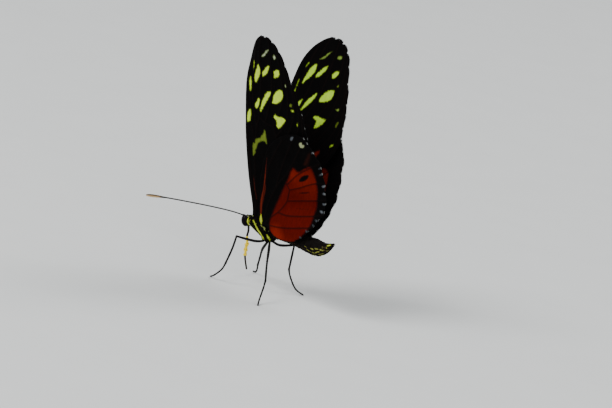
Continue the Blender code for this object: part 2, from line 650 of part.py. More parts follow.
def build():
    for obj in list(bpy.data.objects):
        bpy.data.objects.remove(obj)
    objects = []

    thorax = joined("thorax", [
        loft(THORAX_SECTIONS, 24, power=2.2),
        ellipsoid((3.45, -0.9, -4.02), (0.7, 0.64, 0.74)),
        ellipsoid((3.45, 0.9, -4.02), (0.7, 0.64, 0.74)),
        ellipsoid((4.42, -0.85, -4.08), (0.7, 0.65, 0.8)),
        ellipsoid((4.42, 0.85, -4.08), (0.7, 0.65, 0.8)),
    ])
    abdomen = loft(segmented(ABDOMEN_SECTIONS, 0.1), 20, tail=0.3)
    head = loft(HEAD_SECTIONS, 20, clamp=HEAD_HALF_WIDTH, nose=0.07)
    thorax_tree = tree_of(thorax)
    head_tree = tree_of(head)
    eyes = [eye_mesh(-1.0), eye_mesh(1.0)]
    eye_trees = [tree_of(bm) for bm in eyes]
    body = [thorax_tree, tree_of(abdomen)]

    for sign, side in ((-1.0, "left"), (1.0, "right")):
        bm = wing_mesh(FOREWING_OUTLINE, FOREWING_SCALLOPED, FOREWING_VEINS, fore_surface, 3.4)
        root = stalk((0.5, -0.5, -0.9), fore_surface(1.6, 0.2), 0.3, 0.36, body)
        bm = joined("forewing_" + side, [bm, root])
        if sign > 0:
            bm = mirror(bm)
        objects.append(finish("forewing_" + side, bm, "forewing"))
        surface = hind_surface if sign < 0 else right_hind_surface
        bm = wing_mesh(HINDWING_OUTLINE, HINDWING_SCALLOPED, HINDWING_VEINS, surface, 3.4)
        root = stalk((2.9, -0.9, -2.0), hind_surface(1.3, 3.9), 0.36, 0.42, body)
        bm = joined("hindwing_" + side, [bm, root])
        if sign > 0:
            bm = mirror(bm)
        objects.append(finish("hindwing_" + side, bm, "hindwing"))

    for sign, side in ((-1.0, "left"), (1.0, "right")):
        path = ANTENNA_LEFT_PATH if sign < 0 else ANTENNA_RIGHT_PATH
        path = pull_clear(resample(path, 1.5), [head_tree] + eye_trees, ANTENNA_R)
        count = len(path) - 1
        widths = []
        for k in range(len(path)):
            t = k / count
            club = smooth((t - 0.8) / 0.13) * (1.0 - 0.45 * smooth((t - 0.94) / 0.06))
            widths.append(ANTENNA_R + (ANTENNA_CLUB_R - ANTENNA_R) * club)
        objects.append(finish("antenna_" + side, tube(path, widths, 8), "antenna"))
        path = [(p[0], -sign * p[1], p[2]) for p in PALP_PATH]
        path = pull_clear(resample(path, 0.5), [head_tree] + eye_trees, 0.28)
        widths = [0.28 - 0.05 * k / (len(path) - 1) for k in range(len(path))]
        objects.append(finish("palp_" + side, tube(path, widths, 8), "palp"))
        path = [(p[0], -sign * p[1], p[2]) for p in FORELEG_PATH]
        hugging = []
        for p in resample(path, 0.7):
            hit, normal, _, _ = thorax_tree.find_nearest(p)
            hugging.append(hit + normal * (GAP + 0.28))
        widths = [0.26] * len(hugging)
        objects.append(finish("foreleg_" + side, tube(hugging, widths, 8), "leg"))

    path = pull_clear(resample(PROBOSCIS_PATH, 1.1), [head_tree], PROBOSCIS_R)
    widths = [PROBOSCIS_R] * len(path)
    objects.append(finish("proboscis", tube(path, widths, 9), "proboscis"))
    for name, spec in LEGS.items():
        objects.extend(leg_parts(name, spec, body))
    objects.append(finish("eye_left", eyes[0], "eye"))
    objects.append(finish("eye_right", eyes[1], "eye"))
    objects.append(finish("head", head, "head"))
    objects.append(finish("abdomen", abdomen, "abdomen"))
    objects.append(finish("thorax", thorax, "thorax"))

    low = Vector((1e9, 1e9, 1e9))
    high = -low
    for obj in objects:
        for v in obj.data.vertices:
            for axis in range(3):
                low[axis] = min(low[axis], v.co[axis])
                high[axis] = max(high[axis], v.co[axis])
    shift = Vector((-(low.x + high.x) * 0.5, -(low.y + high.y) * 0.5, -low.z))
    for obj in objects:
        for v in obj.data.vertices:
            v.co = (v.co + shift) * MM
        obj.data.update()
    print("centre shift", [round(c, 4) for c in shift])


build()
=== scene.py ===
# Dressed model of the tiger longwing: wings, furred body, eyes, feelers, tongue and legs.
# Shapes are worked out in millimetres in the same frame as the solids' own source, whose
# origin lies between the forewing hinges, and turned into metres by world().
import math
import random

import bmesh
import bpy
import numpy as np
from mathutils import Matrix, Vector
from mathutils.bvhtree import BVHTree
from mathutils.geometry import delaunay_2d_cdt

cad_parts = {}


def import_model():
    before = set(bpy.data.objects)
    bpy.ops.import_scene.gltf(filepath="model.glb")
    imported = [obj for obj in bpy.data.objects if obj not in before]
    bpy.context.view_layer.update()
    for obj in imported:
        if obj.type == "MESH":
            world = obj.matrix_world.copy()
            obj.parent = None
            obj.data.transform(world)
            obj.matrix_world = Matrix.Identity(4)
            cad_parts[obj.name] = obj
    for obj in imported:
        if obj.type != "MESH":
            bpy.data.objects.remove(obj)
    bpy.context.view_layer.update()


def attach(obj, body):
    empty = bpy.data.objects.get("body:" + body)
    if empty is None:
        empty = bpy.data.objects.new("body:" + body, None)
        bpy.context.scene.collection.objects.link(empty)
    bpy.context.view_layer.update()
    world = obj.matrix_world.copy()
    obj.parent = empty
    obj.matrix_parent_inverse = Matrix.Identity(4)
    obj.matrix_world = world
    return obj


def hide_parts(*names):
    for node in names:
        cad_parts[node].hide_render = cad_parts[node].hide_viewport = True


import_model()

# Fineness: spacing of the wings' points, voxel of the skin, spacing of the fringe's scales,
# share of the hair and grains of dust
GRID_STEP, VOXEL, FRINGE_STEP, HAIR_SHARE, DUST_GRAINS = (
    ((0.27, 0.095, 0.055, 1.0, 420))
)

# Distance between two rows of the wings' points, as a share of GRID_STEP
ROW_RATIO = 0.866

MM = 0.001
# From the origin between the hinges to the part's own, in millimetres
SHIFT = Vector((-1.3557, -0.3477, 16.0))
FLOOR = -16.0
# Half the distance between the two forewing hinges
HINGE_HALF = 1.15
# The hindwing lies outside the forewing's surface by the offset, further out by the clearance
# over the abdomen, and less far toward its outer margin
HINDWING_OFFSET = 1.1
ABDOMEN_CLEARANCE = 1.9
HINDWING_INWARD = 0.85
# The scallops' depth, and the distance from a vein's end over which they reach it
SCALLOP_DEPTH = 0.34
SCALLOP_REACH = 1.6
MEMBRANE_HALF = 0.06
VEIN_RIDGE = 0.1
VEIN_HALF_WIDTH = 0.26
# Sag of the membrane between the veins, and the distance from a vein where it is full
PLEAT_DEPTH = 0.07
PLEAT_REACH = 1.6
# The wing's root is stouter, over this much of the span
ROOT_STOUTNESS = 0.16
ROOT_SPAN = 3.0
# Bend of the wing plane out of flat, in millimetres at 45 mm of span and 20 mm of chord
BEND = (3.3, 2.65, -1.3)
BEND_SPAN, BEND_CHORD = 45, 20
# The front edge turns inward by this much beside the apex
CURL = 0.65
# Distance beyond which a marking no longer matters
FAR = 9.0
UP = Vector((0.0, 0.0, 1.0))
LIMB_SIDES = 12
# How far a tube's end point stands out, in radii
TUBE_CAP = 0.8

# The camera: azimuth, elevation and roll in degrees, its distance in millimetres, and the
# photograph's size and the place of the origin in it, in pixels
CAMERA_ANGLES = (43, 12, 11.5)
CAMERA_DISTANCE = 1000.0
PIXELS_PER_MM = 4.27
PHOTO_SIZE = (612, 408)
ORIGIN_PIXEL = (260.1, 216.9)
# Lights: name, place in metres, size and power
LIGHTS = (
    ("key", (-0.35, -0.75, 0.95), 0.55, 14.0), ("fill", (0.9, -0.35, 0.55), 0.8, 6.0),
    ("rim", (0.1, 0.9, 0.8), 0.5, 7.0),
)
# Place that they point to, in millimetres, and the even light from all around
LIGHT_TARGET = (2.0, 0.0, 12.0)
SKY_COLOUR = (0.93, 0.96, 1.0, 1.0)
SKY_STRENGTH = 0.55
FLOOR_HALF = 6.0

# Directions of the span, the chord and the outer face of the left wings
WING_U = Vector((0.019, -0.165, 0.986)).normalized()
WING_V = Vector((0.999, 0.049, -0.011)).normalized()
WING_N = Vector((0.047, -0.985, -0.166)).normalized()
# Points, as (span, chord), that the scallops are cut toward and the pale dots point away from
WING_CENTRE = Vector((12.0, 6.0))
MARK_CENTRE = (9.0, 9.0)
# Attributes that stay at FAR on a side of a wing that lacks the marking
DISTANCES = ("red", "dark", "smudge", "white", "tone", "cream", "line", "yellow", "spot")

# Outlines and veins of the flat wings are given as (span, chord) in millimetres.
FOREWING_OUTLINE = [
    (-0.4, -0.8), (1.8, -1.45), (4.0, -2.15), (6.5, -3.0), (9.5, -3.85), (13.0, -4.65),
    (16.5, -5.3), (20.0, -5.8), (24.0, -6.15), (28.0, -6.3), (32.0, -6.3), (35.0, -6.0),
    (37.6, -5.5), (40.0, -4.75), (42.0, -3.8), (43.6, -2.6), (44.7, -1.25), (45.2, 0.15),
    (45.2, 1.45), (44.9, 2.8), (44.2, 4.1), (43.2, 5.4), (41.8, 6.6), (40.0, 7.75),
    (38.2, 8.65), (36.5, 9.55), (34.2, 10.9), (31.4, 12.2), (29.3, 13.1), (26.9, 13.95),
    (24.7, 14.6), (22.5, 14.9), (20.0, 14.45), (15.0, 12.3), (10.0, 9.5), (5.0, 6.0),
    (2.0, 3.3), (-0.2, 1.3),
]
# Spans of the outline, by index, whose edge is scalloped between the vein ends
FOREWING_SCALLOPED = (16, 31)
FOREWING_VEINS = [
    [(-0.2, -0.4), (8.0, -2.5), (15.0, -4.2), (21.0, -5.6)],
    [(-0.2, -0.1), (8.0, -1.2), (16.0, -2.2), (22.0, -1.9), (24.5, -1.0)],
    [(-0.2, 0.3), (7.0, 2.6), (13.0, 4.4), (19.0, 5.0), (21.5, 4.8), (23.8, 3.6)],
    [(24.5, -1.0), (23.7, 1.4), (23.8, 3.6)],
    [(18.0, -2.3), (24.0, -4.3), (28.5, -5.9)],
    [(24.0, -4.3), (28.5, -4.6), (34.5, -5.6)],
    [(22.0, -1.9), (27.0, -3.3), (31.0, -3.8), (34.5, -3.75), (38.0, -3.5), (43.0, -2.9)],
    [(24.5, -1.0), (28.0, -1.15), (32.0, -0.9), (36.0, -0.95), (40.5, -1.5), (44.8, -0.9)],
    [(23.9, 0.9), (27.5, 2.0), (31.5, 2.85), (36.0, 2.85), (40.5, 2.4), (44.9, 1.75)],
    [(23.8, 3.6), (28.0, 5.6), (32.0, 6.9), (36.0, 6.4), (40.0, 5.5), (43.8, 4.15)],
    [(21.5, 4.8), (24.5, 7.0), (28.0, 8.3), (32.5, 8.4), (37.0, 7.6), (41.5, 6.25)],
    [(18.5, 5.0), (22.5, 8.2), (27.0, 10.1), (31.0, 10.5), (35.0, 9.6), (38.4, 8.0)],
    [(15.0, 4.6), (19.0, 8.6), (24.0, 11.4), (29.0, 12.0), (34.3, 10.3)],
    [(10.0, 3.6), (14.0, 8.2), (19.0, 11.9), (24.0, 13.3), (29.3, 12.6)],
    [(-0.1, 0.7), (5.0, 4.6), (10.0, 7.9), (15.0, 10.9), (20.0, 13.4), (24.0, 14.3)],
]
# Notches of the margin, where the fringe is white
FOREWING_NOTCHES = [
    (45.2, 0.5), (44.5, 3.1), (43.0, 5.4), (39.9, 7.3), (36.1, 9.1), (31.5, 11.6),
    (29.4, 13.0), (26.4, 13.8), (23.9, 14.6),
]
# Pale markings of the forewing, as outlines along (span, chord)
BRIGHT_SPOTS = [
    [(38.0, -4.0), (37.5, -3.6), (36.7, -3.6), (35.2, -3.8), (35.8, -4.2), (37.4, -4.1)],
    [(37.6, -2.2), (37.3, -1.6), (36.3, -1.1), (35.1, -1.3), (32.8, -2.5), (32.6, -3.2),
     (34.3, -3.4), (36.0, -2.9)],
    [(34.8, -0.4), (35.5, -0.6), (36.5, -0.2), (38.2, 1.2), (38.3, 2.0), (37.2, 1.8),
     (35.6, 0.8)],
    [(37.4, 3.5), (38.1, 4.4), (38.3, 5.4), (37.5, 5.7), (36.4, 5.1), (35.8, 3.8),
     (36.6, 3.5)],
    [(33.7, -4.9), (33.2, -4.4), (31.7, -4.2), (29.9, -4.45), (29.9, -4.7), (31.3, -5.15),
     (33.1, -5.2)],
    [(29.4, 3.0), (30.6, 3.3), (31.8, 3.6), (32.8, 4.5), (33.6, 5.6), (33.3, 6.7),
     (32.0, 6.9), (30.6, 6.0), (29.8, 4.9), (29.3, 3.8)],
    [(29.3, -1.7), (29.2, -1.0), (28.2, -1.1), (26.4, -1.9), (26.4, -2.7), (27.2, -2.9),
     (28.4, -2.3)],
    [(31.6, 1.1), (32.1, 2.6), (31.0, 2.45), (29.1, 1.25), (27.6, 0.35), (25.9, -0.7),
     (26.1, -1.1), (27.8, -0.85), (29.6, -0.1)],
    [(25.8, -4.3), (25.2, -4.0), (23.3, -4.0), (22.1, -4.8), (22.1, -5.4), (23.4, -5.6),
     (25.0, -5.2)],
    [(27.1, 4.3), (26.7, 5.0), (27.0, 6.3), (26.6, 7.9), (25.5, 7.2), (23.8, 5.7),
     (23.8, 5.0), (24.7, 4.6), (25.6, 4.5), (25.9, 3.6), (26.6, 3.8)],
    [(29.4, 9.2), (29.9, 9.8), (30.0, 10.6), (29.5, 10.5), (29.1, 9.9)],
    [(27.4, 11.5), (27.2, 11.8), (26.3, 11.75), (25.9, 11.5), (26.6, 11.3)],
]
DULL_SPOTS = [
    [(39.7, -0.8), (40.2, 0.3), (41.5, 1.5), (42.5, 2.0), (42.2, 1.4), (41.1, 0.1)],
    [(40.9, 3.2), (41.6, 3.5), (41.4, 4.2), (40.7, 4.3), (40.4, 3.7)],
    [(35.2, 7.3), (35.5, 7.7), (35.1, 8.1), (34.6, 7.6)],
    [(30.5, 8.8), (31.2, 9.3), (31.1, 9.9), (30.5, 9.7), (30.2, 9.1)],
    [(21.3, 12.0), (21.9, 12.2), (22.2, 13.1), (21.6, 13.0), (21.1, 12.5)],
    [(22.0, 0.9), (19.0, 1.8), (18.7, 1.5), (19.1, 0.9), (18.7, -0.2), (18.0, -1.2),
     (16.9, -1.6), (15.3, -2.0), (14.4, -2.5), (14.7, -2.9), (17.4, -3.0), (17.8, -2.4),
     (18.9, -2.0), (19.7, -0.6), (21.1, 0.3)],
]
# The same markings as they stand on the upper side
BRIGHT_SPOTS_ABOVE = [
    [(36.3, -4.0), (37.0, -3.9), (37.7, -3.6), (37.4, -3.4), (36.9, -3.5), (36.4, -3.7)],
    [(32.2, -3.4), (33.2, -3.5), (34.3, -3.3), (35.3, -3.1), (36.5, -2.8), (37.6, -2.2),
     (37.8, -1.5), (37.2, -1.25), (36.2, -1.15), (35.2, -1.4), (34.2, -1.9), (33.1, -2.7),
     (32.3, -3.1)],
    [(35.0, -0.6), (35.7, -0.5), (36.6, -0.1), (37.6, 0.6), (38.3, 1.3), (38.6, 1.8),
     (37.8, 1.9), (37.0, 1.7), (36.1, 1.2), (35.2, 0.5), (34.7, -0.2)],
    [(36.2, 4.0), (36.9, 3.9), (37.7, 4.3), (38.3, 5.1), (38.4, 5.5), (37.6, 5.7),
     (36.9, 5.5), (36.2, 5.0), (36.0, 4.4)],
    [(29.5, -4.7), (30.6, -4.8), (31.9, -4.8), (33.3, -4.7), (33.1, -4.4), (32.3, -4.4),
     (31.1, -4.4), (30.0, -4.4)],
    [(29.9, 3.4), (30.9, 3.3), (32.1, 3.9), (33.2, 4.9), (33.7, 6.4), (33.2, 6.8),
     (32.0, 6.9), (31.0, 6.4), (30.1, 5.0), (29.8, 3.9)],
    [(26.9, -2.5), (27.9, -2.4), (29.0, -1.7), (29.0, -1.4), (28.0, -1.4), (26.8, -1.8)],
    [(26.0, -1.0), (27.6, -0.7), (29.2, 0.0), (30.8, 1.0), (31.7, 1.9), (31.1, 2.1),
     (29.8, 1.8), (28.4, 1.0), (27.1, 0.1), (26.2, -0.7)],
    [(25.8, -4.3), (25.2, -4.0), (23.3, -4.0), (22.1, -4.8), (22.1, -5.4), (23.4, -5.6),
     (25.0, -5.2)],
    [(23.6, 5.1), (24.4, 5.0), (25.4, 5.0), (25.7, 4.0), (26.1, 3.5), (26.6, 4.1),
     (26.8, 5.0), (26.7, 6.4), (26.7, 7.8), (25.5, 7.4), (24.6, 6.6), (23.7, 5.7)],
    [(21.2, 12.0), (21.9, 12.3), (22.2, 13.2), (21.6, 13.1), (21.1, 12.5)],
]
DULL_SPOTS_ABOVE = [
    [(38.9, -1.6), (39.7, -0.9), (40.7, -0.2), (41.5, 0.4), (42.2, 1.3), (41.8, 1.15),
     (41.0, 0.7), (40.1, 0.15), (39.5, -0.4), (39.1, -1.2)],
    [(40.7, 3.3), (41.2, 3.3), (41.6, 3.8), (41.7, 4.4), (41.2, 4.6), (40.8, 4.4),
     (40.6, 3.8)],
    [(29.7, 9.2), (30.2, 10.1), (29.7, 10.4), (29.4, 9.8)],
    [(34.8, 6.7), (35.2, 7.0), (34.6, 7.3)],
    [(25.9, 11.3), (27.1, 11.4), (27.4, 11.7), (26.7, 11.9), (25.9, 11.7)],
    [(22.0, 0.9), (19.0, 1.8), (18.7, 1.5), (19.1, 0.9), (18.7, -0.2), (18.0, -1.2),
     (16.9, -1.6), (15.3, -2.0), (14.4, -2.5), (14.7, -2.9), (17.4, -3.0), (17.8, -2.4),
     (18.9, -2.0), (19.7, -0.6), (21.1, 0.3)],
]
# Red ray of the forewing's upper side, and the faint red line near its front edge below
FOREWING_RAY = [(3.0, 1.8), (12.0, 5.6), (17.9, 7.9), (19.3, 9.6), (18.0, 9.4), (12.0, 8.2),
                (5.0, 4.6)]
FOREWING_RED_LINE = [(9.6, -2.1, 0.02), (7.3, -1.5, 0.1), (6.1, -1.1, 0.13), (5.2, -0.7, 0.12),
                     (4.3, -0.5, 0.08)]

HINDWING_OUTLINE = [
    (-0.75, 2.75), (-0.35, 2.05), (0.4, 1.65), (1.8, 1.5), (4.9, 1.5), (9.3, 1.2),
    (13.7, 1.7), (17.7, 2.8), (21.0, 5.2), (23.2, 8.4), (24.3, 11.5), (24.6, 13.6),
    (23.8, 15.4), (22.0, 17.25), (18.5, 19.25), (15.5, 20.2), (12.3, 20.7), (9.6, 20.9),
    (7.2, 20.6), (5.1, 19.8), (3.5, 18.9), (1.7, 17.85), (0.0, 16.35), (-1.0, 14.7),
    (-1.7, 11.7), (-1.8, 8.6), (-1.1, 6.4), (-0.5, 4.7),
]
HINDWING_SCALLOPED = (10, 23)
HINDWING_VEINS = [
    [(-0.1, 3.1), (6.0, 2.7), (13.0, 3.6), (18.0, 5.6), (21.8, 7.8)],
    [(-0.1, 3.5), (6.0, 4.8), (11.0, 7.4), (14.0, 9.8)],
    [(-0.1, 4.0), (2.2, 6.1), (4.0, 8.0), (5.7, 9.2), (7.3, 10.0), (9.0, 10.4), (10.3, 10.7)],
    [(10.3, 10.7), (11.3, 9.8), (12.0, 8.9), (12.3, 8.3)],
    [(9.0, 6.2), (15.0, 7.9), (20.0, 9.9), (23.7, 11.6)],
    [(14.0, 9.8), (19.0, 12.3), (24.0, 14.8)],
    [(11.3, 9.8), (13.1, 11.4), (14.7, 12.9), (16.6, 15.3), (19.0, 18.8)],
    [(10.3, 10.7), (11.5, 13.3), (12.7, 15.4), (13.7, 17.4), (14.6, 20.2)],
    [(7.3, 10.0), (8.2, 13.2), (8.9, 15.6), (9.6, 17.9), (10.4, 20.6)],
    [(4.0, 8.0), (4.0, 10.4), (4.4, 12.6), (5.3, 16.0), (6.0, 18.3), (6.8, 20.2)],
    [(0.0, 4.6), (0.6, 8.0), (1.5, 12.0), (2.8, 16.6), (3.4, 18.6)],
]
# How far the right hindwing's outer margin is drawn in, by its distance along the span
RIGHT_DRAWN_IN = [
    (-2.0, 1.4), (1.0, 1.4), (2.9, 1.2), (4.2, 0.7), (5.7, 0.1), (7.5, -0.25), (9.5, -0.4),
    (11.3, -0.45), (13.0, -0.15), (15.0, 0.05), (17.5, 0.4), (19.8, 0.65), (21.0, 1.2),
    (22.2, 1.55), (24.0, 1.4), (26.0, 1.2),
]
HINDWING_NOTCHES = [
    (24.3, 14.6), (23.4, 15.8), (21.5, 17.4), (18.0, 19.0), (16.75, 19.6), (14.0, 20.4),
    (12.1, 20.7), (9.5, 20.9), (7.5, 20.7), (5.2, 20.0), (3.9, 19.2), (2.2, 18.1),
    (0.3, 16.6),
]
# Fields and marks of the hindwing, below and above
RED_BELOW = [
    (1.1, 6.05), (2.6, 6.3), (5.3, 7.05), (8.5, 8.2), (10.4, 9.0), (11.7, 9.6), (13.4, 10.4),
    (15.0, 10.95), (15.9, 11.7), (15.4, 12.5), (15.5, 13.6), (16.6, 14.9), (17.5, 16.4),
    (16.2, 17.0), (15.0, 17.5), (12.6, 18.1), (9.0, 18.15), (6.3, 17.9), (3.4, 17.8),
    (1.7, 17.0), (-0.1, 15.8), (-1.4, 14.0), (-2.4, 10.5), (-2.2, 7.6), (-0.7, 6.4),
]
RED_ABOVE = [
    (1.1, 4.9), (5.2, 5.0), (10.4, 6.0), (13.8, 8.2), (15.9, 11.2), (15.6, 13.9),
    (13.5, 15.3), (10.0, 15.9), (6.0, 16.0), (3.0, 15.2), (0.0, 14.0), (-1.4, 11.0),
    (-1.6, 7.4),
]
DARK_MARKS = [
    [(13.2, 13.2), (14.2, 13.7), (15.0, 14.6), (15.5, 15.8), (14.7, 15.7), (13.9, 15.0),
     (13.3, 14.1)],
]
DARK_BARS = [
    [(10.2, 13.2, 0.08), (10.6, 14.6, 0.16), (11.1, 16.0, 0.08)],
    [(6.2, 12.4, -0.02), (6.5, 14.2, 0.04), (7.1, 16.6, -0.02)],
]
# Dark red haze beyond the tip of the red field
SMUDGE = [(17.8, 14.7), (18.8, 15.1), (20.7, 16.0), (21.0, 16.4), (19.5, 16.1), (18.0, 15.5)]
# Pale dots at the margin: place, half length outward, half width and brightness
WHITE_MARKS = [
    (21.4, 17.0, 0.2, 0.1, 0.9), (17.9, 18.8, 0.3, 0.1, 0.3), (16.6, 19.3, 0.5, 0.15, 0.45),
    (13.8, 20.05, 0.45, 0.24, 0.85), (12.0, 20.25, 0.4, 0.24, 0.8), (9.4, 20.3, 0.4, 0.24, 0.65),
    (7.4, 19.75, 0.42, 0.24, 0.8), (5.1, 19.15, 0.34, 0.16, 0.4), (4.0, 18.65, 0.2, 0.12, 0.25),
    (2.2, 17.65, 0.4, 0.18, 0.28), (0.5, 16.3, 0.24, 0.16, 0.25),
]
CREAM_MARK = [(22.75, 13.25), (23.1, 14.0), (22.6, 14.2), (22.7, 14.85), (22.05, 14.55),
              (21.8, 13.8), (22.25, 13.2)]
GREY_MARK = [(22.75, 10.3), (23.45, 10.65), (23.7, 11.4), (23.1, 11.2), (22.6, 10.7)]
# Painted light on the red field of the underside, brighter at these places: place, reach and gain
RED_PAINTED_LIGHT = [((-1.2, 8.8), 3.2, 1.1), ((14.5, 15.0), 6.0, 0.6), ((14.5, 11.0), 2.5, 0.4)]
# Red band along the front edge, each point with its half width, and its yellow root
HINDWING_RED_LINE = [
    (16.0, 3.0, 0.05), (12.5, 2.8, 0.14), (8.4, 2.8, 0.36), (6.4, 2.5, 0.44),
    (5.2, 2.36, 0.48), (3.6, 2.25, 0.4), (2.4, 2.35, 0.3), (1.4, 2.55, 0.24),
]
HINDWING_YELLOW = [(1.9, 2.5), (1.2, 2.3), (0.6, 2.25), (0.1, 2.35), (-0.3, 2.65), (-0.65, 3.05),
                   (0.0, 3.25), (0.6, 3.2), (1.2, 2.95)]

# Body sections along X: station, height of centre, half height, half width
THORAX_SECTIONS = [
    (-2.45, -1.62, 0.78, 0.75), (-2.1, -1.58, 1.22, 1.15), (-1.5, -1.47, 1.46, 1.52),
    (-0.6, -1.5, 1.58, 1.75), (0.6, -1.72, 1.76, 1.93), (1.9, -2.08, 1.87, 1.96),
    (3.2, -2.58, 1.92, 1.85), (4.2, -2.65, 1.6, 1.5), (5.3, -2.5, 1.1, 1.1),
]
ABDOMEN_SECTIONS = [
    (4.6, -2.5, 1.0, 1.0), (5.22, -2.45, 1.08, 1.1), (7.4, -2.1, 1.22, 1.2),
    (9.9, -1.85, 1.32, 1.32), (12.4, -1.72, 1.46, 1.48), (14.8, -1.62, 1.64, 1.66),
    (17.2, -1.56, 1.85, 1.8), (19.3, -1.53, 1.95, 1.86), (21.2, -1.42, 1.66, 1.62),
    (22.7, -0.88, 1.23, 1.2), (23.9, -0.06, 0.8, 0.76), (24.7, 0.7, 0.32, 0.3),
]
SEGMENT_JOINTS = (5.3, 7.4, 9.9, 12.4, 14.8, 17.2, 19.3, 21.2, 22.7)
# Rounded forms of the head, chest and wing roots: centre and radii
BODY_BALLS = [
    ((-3.75, 0.0, -2.0), (1.2, 0.95, 1.28)), ((-4.35, 0.0, -2.3), (0.66, 0.6, 0.95)),
    ((-2.62, 0.0, -1.75), (0.55, 1.3, 1.3)), ((0.6, 0.0, -0.55), (1.9, 1.3, 0.75)),
    ((-1.55, 0.0, -0.75), (0.75, 1.3, 0.75)),
]
# Hips, shoulders and feeler roots, one on each side
PAIRED_BALLS = [
    ((3.5, 0.9, -3.98), (0.66, 0.62, 0.72)), ((4.5, 0.85, -4.05), (0.74, 0.65, 0.82)),
    ((-0.75, 1.12, -0.35), (0.6, 0.42, 0.5)), ((-4.35, 0.42, -1.2), (0.26, 0.26, 0.26)),
]
# Path and half widths
NECK = ([(-3.2, 0.0, -1.75), (-1.8, 0.0, -1.7)], [0.85, 1.0])
WING_ROOTS = [
    ([(0.4, 0.7, -0.9), (0.3, 1.05, -0.1), (0.25, 1.22, 0.9)], [0.75, 0.5, 0.16]),
    ([(2.9, 0.9, -1.9), (3.2, 1.5, -0.9), (3.5, 2.0, 0.3)], [0.7, 0.5, 0.14]),
]
EYE_CENTRE = (-3.66, 0.86, -1.95)
EYE_RADII = (1.04, 0.9, 1.32)
# The eye leans back by this much per millimetre of height, and is cut flat on its inner side
EYE_LEAN = 0.2
EYE_INNER = 0.35

# Paths of the limbs, left side at -Y
ANTENNA_LEFT_PATH = [
    (-4.1, -0.36, -1.35), (-4.5, -0.52, -1.05), (-5.2, -0.95, -0.9), (-6.9, -2.3, -0.68),
    (-9.2, -4.4, -0.55), (-12.0, -7.0, -0.5), (-16.2, -10.9, -0.55), (-18.6, -13.2, -0.62),
    (-20.4, -15.0, -0.76), (-21.9, -16.4, -0.93),
]
# The right feeler is hidden in the photograph, so it lies along the line of sight
ANTENNA_RIGHT_PATH = [
    (-4.1, 0.36, -1.35), (-4.5, 0.54, -1.08), (-5.2, 1.15, -1.15), (-6.7, 2.65, -1.7),
    (-8.8, 4.85, -2.45), (-11.4, 7.6, -3.3), (-14.2, 10.6, -4.2), (-17.2, 13.8, -5.25),
    (-20.3, 17.1, -6.45),
]
PROBOSCIS_PATH = [
    (-3.3, 0.0, -2.8), (-2.95, 0.0, -3.6), (-2.83, 0.0, -4.5), (-2.92, 0.0, -5.5),
    (-2.6, 0.0, -6.7), (-2.5, 0.0, -8.1), (-2.35, 0.0, -10.1), (-1.7, 0.0, -11.7),
    (-0.95, 0.0, -13.1),
]
PALP_PATH = [(-3.9, -0.36, -2.75), (-4.25, -0.38, -3.02), (-4.6, -0.38, -2.9), (-4.95, -0.34, -2.4)]
FORELEG_PATH = [(-1.5, -1.4, -1.95), (-0.8, -1.5, -2.3), (0.1, -1.6, -2.65), (1.1, -1.7, -2.95)]
# Thigh, shank and foot of each standing leg
LEGS = {
    "midleg_left": [
        [(3.7, -1.0, -4.7), (3.2, -3.5, -4.85), (0.75, -7.3, -4.35)],
        [(0.75, -7.3, -4.35), (0.45, -7.6, -7.45), (-0.3, -8.05, -11.2)],
        [(-0.3, -8.05, -11.2), (-1.4, -7.8, -13.1), (-3.2, -8.0, -15.0), (-4.75, -7.55, -15.82)],
    ],
    "midleg_right": [
        [(3.3, 1.0, -4.7), (0.45, 2.6, -7.55), (-1.5, 4.35, -9.3)],
        [(-1.5, 4.35, -9.3), (-3.1, 5.9, -11.3), (-4.6, 7.3, -13.3)],
        [(-4.6, 7.3, -13.3), (-5.2, 8.0, -14.5), (-6.0, 8.6, -15.5), (-7.4, 9.2, -15.82)],
    ],
    "hindleg_left": [
        [(5.3, -0.7, -4.55), (7.8, -3.1, -5.85), (10.25, -5.5, -7.6)],
        [(10.25, -5.5, -7.6), (12.0, -7.0, -9.5), (13.6, -8.3, -11.2)],
        [(13.6, -8.3, -11.2), (14.6, -9.6, -12.8), (15.8, -11.4, -15.0), (17.3, -13.1, -15.82)],
    ],
    "hindleg_right": [
        [(4.6, 0.9, -4.6), (5.9, 2.4, -5.2), (8.15, 4.7, -4.55)],
        [(8.15, 4.7, -4.55), (8.15, 4.65, -7.2), (8.3, 4.4, -10.4)],
        [(8.3, 4.4, -10.4), (8.7, 4.9, -12.1), (9.95, 6.1, -14.7), (11.4, 7.6, -15.82)],
    ],
}

# Body marks on one side as (back, outward, up, half width)
YELLOW_LINES = [
    [(-0.4, 1.66, -0.93, 0.16), (0.29, 1.84, -1.27, 0.14), (0.8, 1.92, -1.63, 0.16),
     (1.33, 1.93, -2.08, 0.21), (1.82, 1.91, -2.49, 0.25), (2.38, 1.84, -2.89, 0.27),
     (2.83, 1.75, -3.22, 0.27), (3.25, 1.59, -3.66, 0.24), (3.59, 1.44, -4.02, 0.2),
     (3.97, 1.41, -4.33, 0.12)],
    [(4.42, 1.34, -2.94, 0.07), (4.62, 1.25, -3.15, 0.18), (4.85, 1.12, -3.45, 0.2)],
    [(23.57, 1.04, 0.3, 0.17), (24.2, 0.78, 0.53, 0.14)],
]
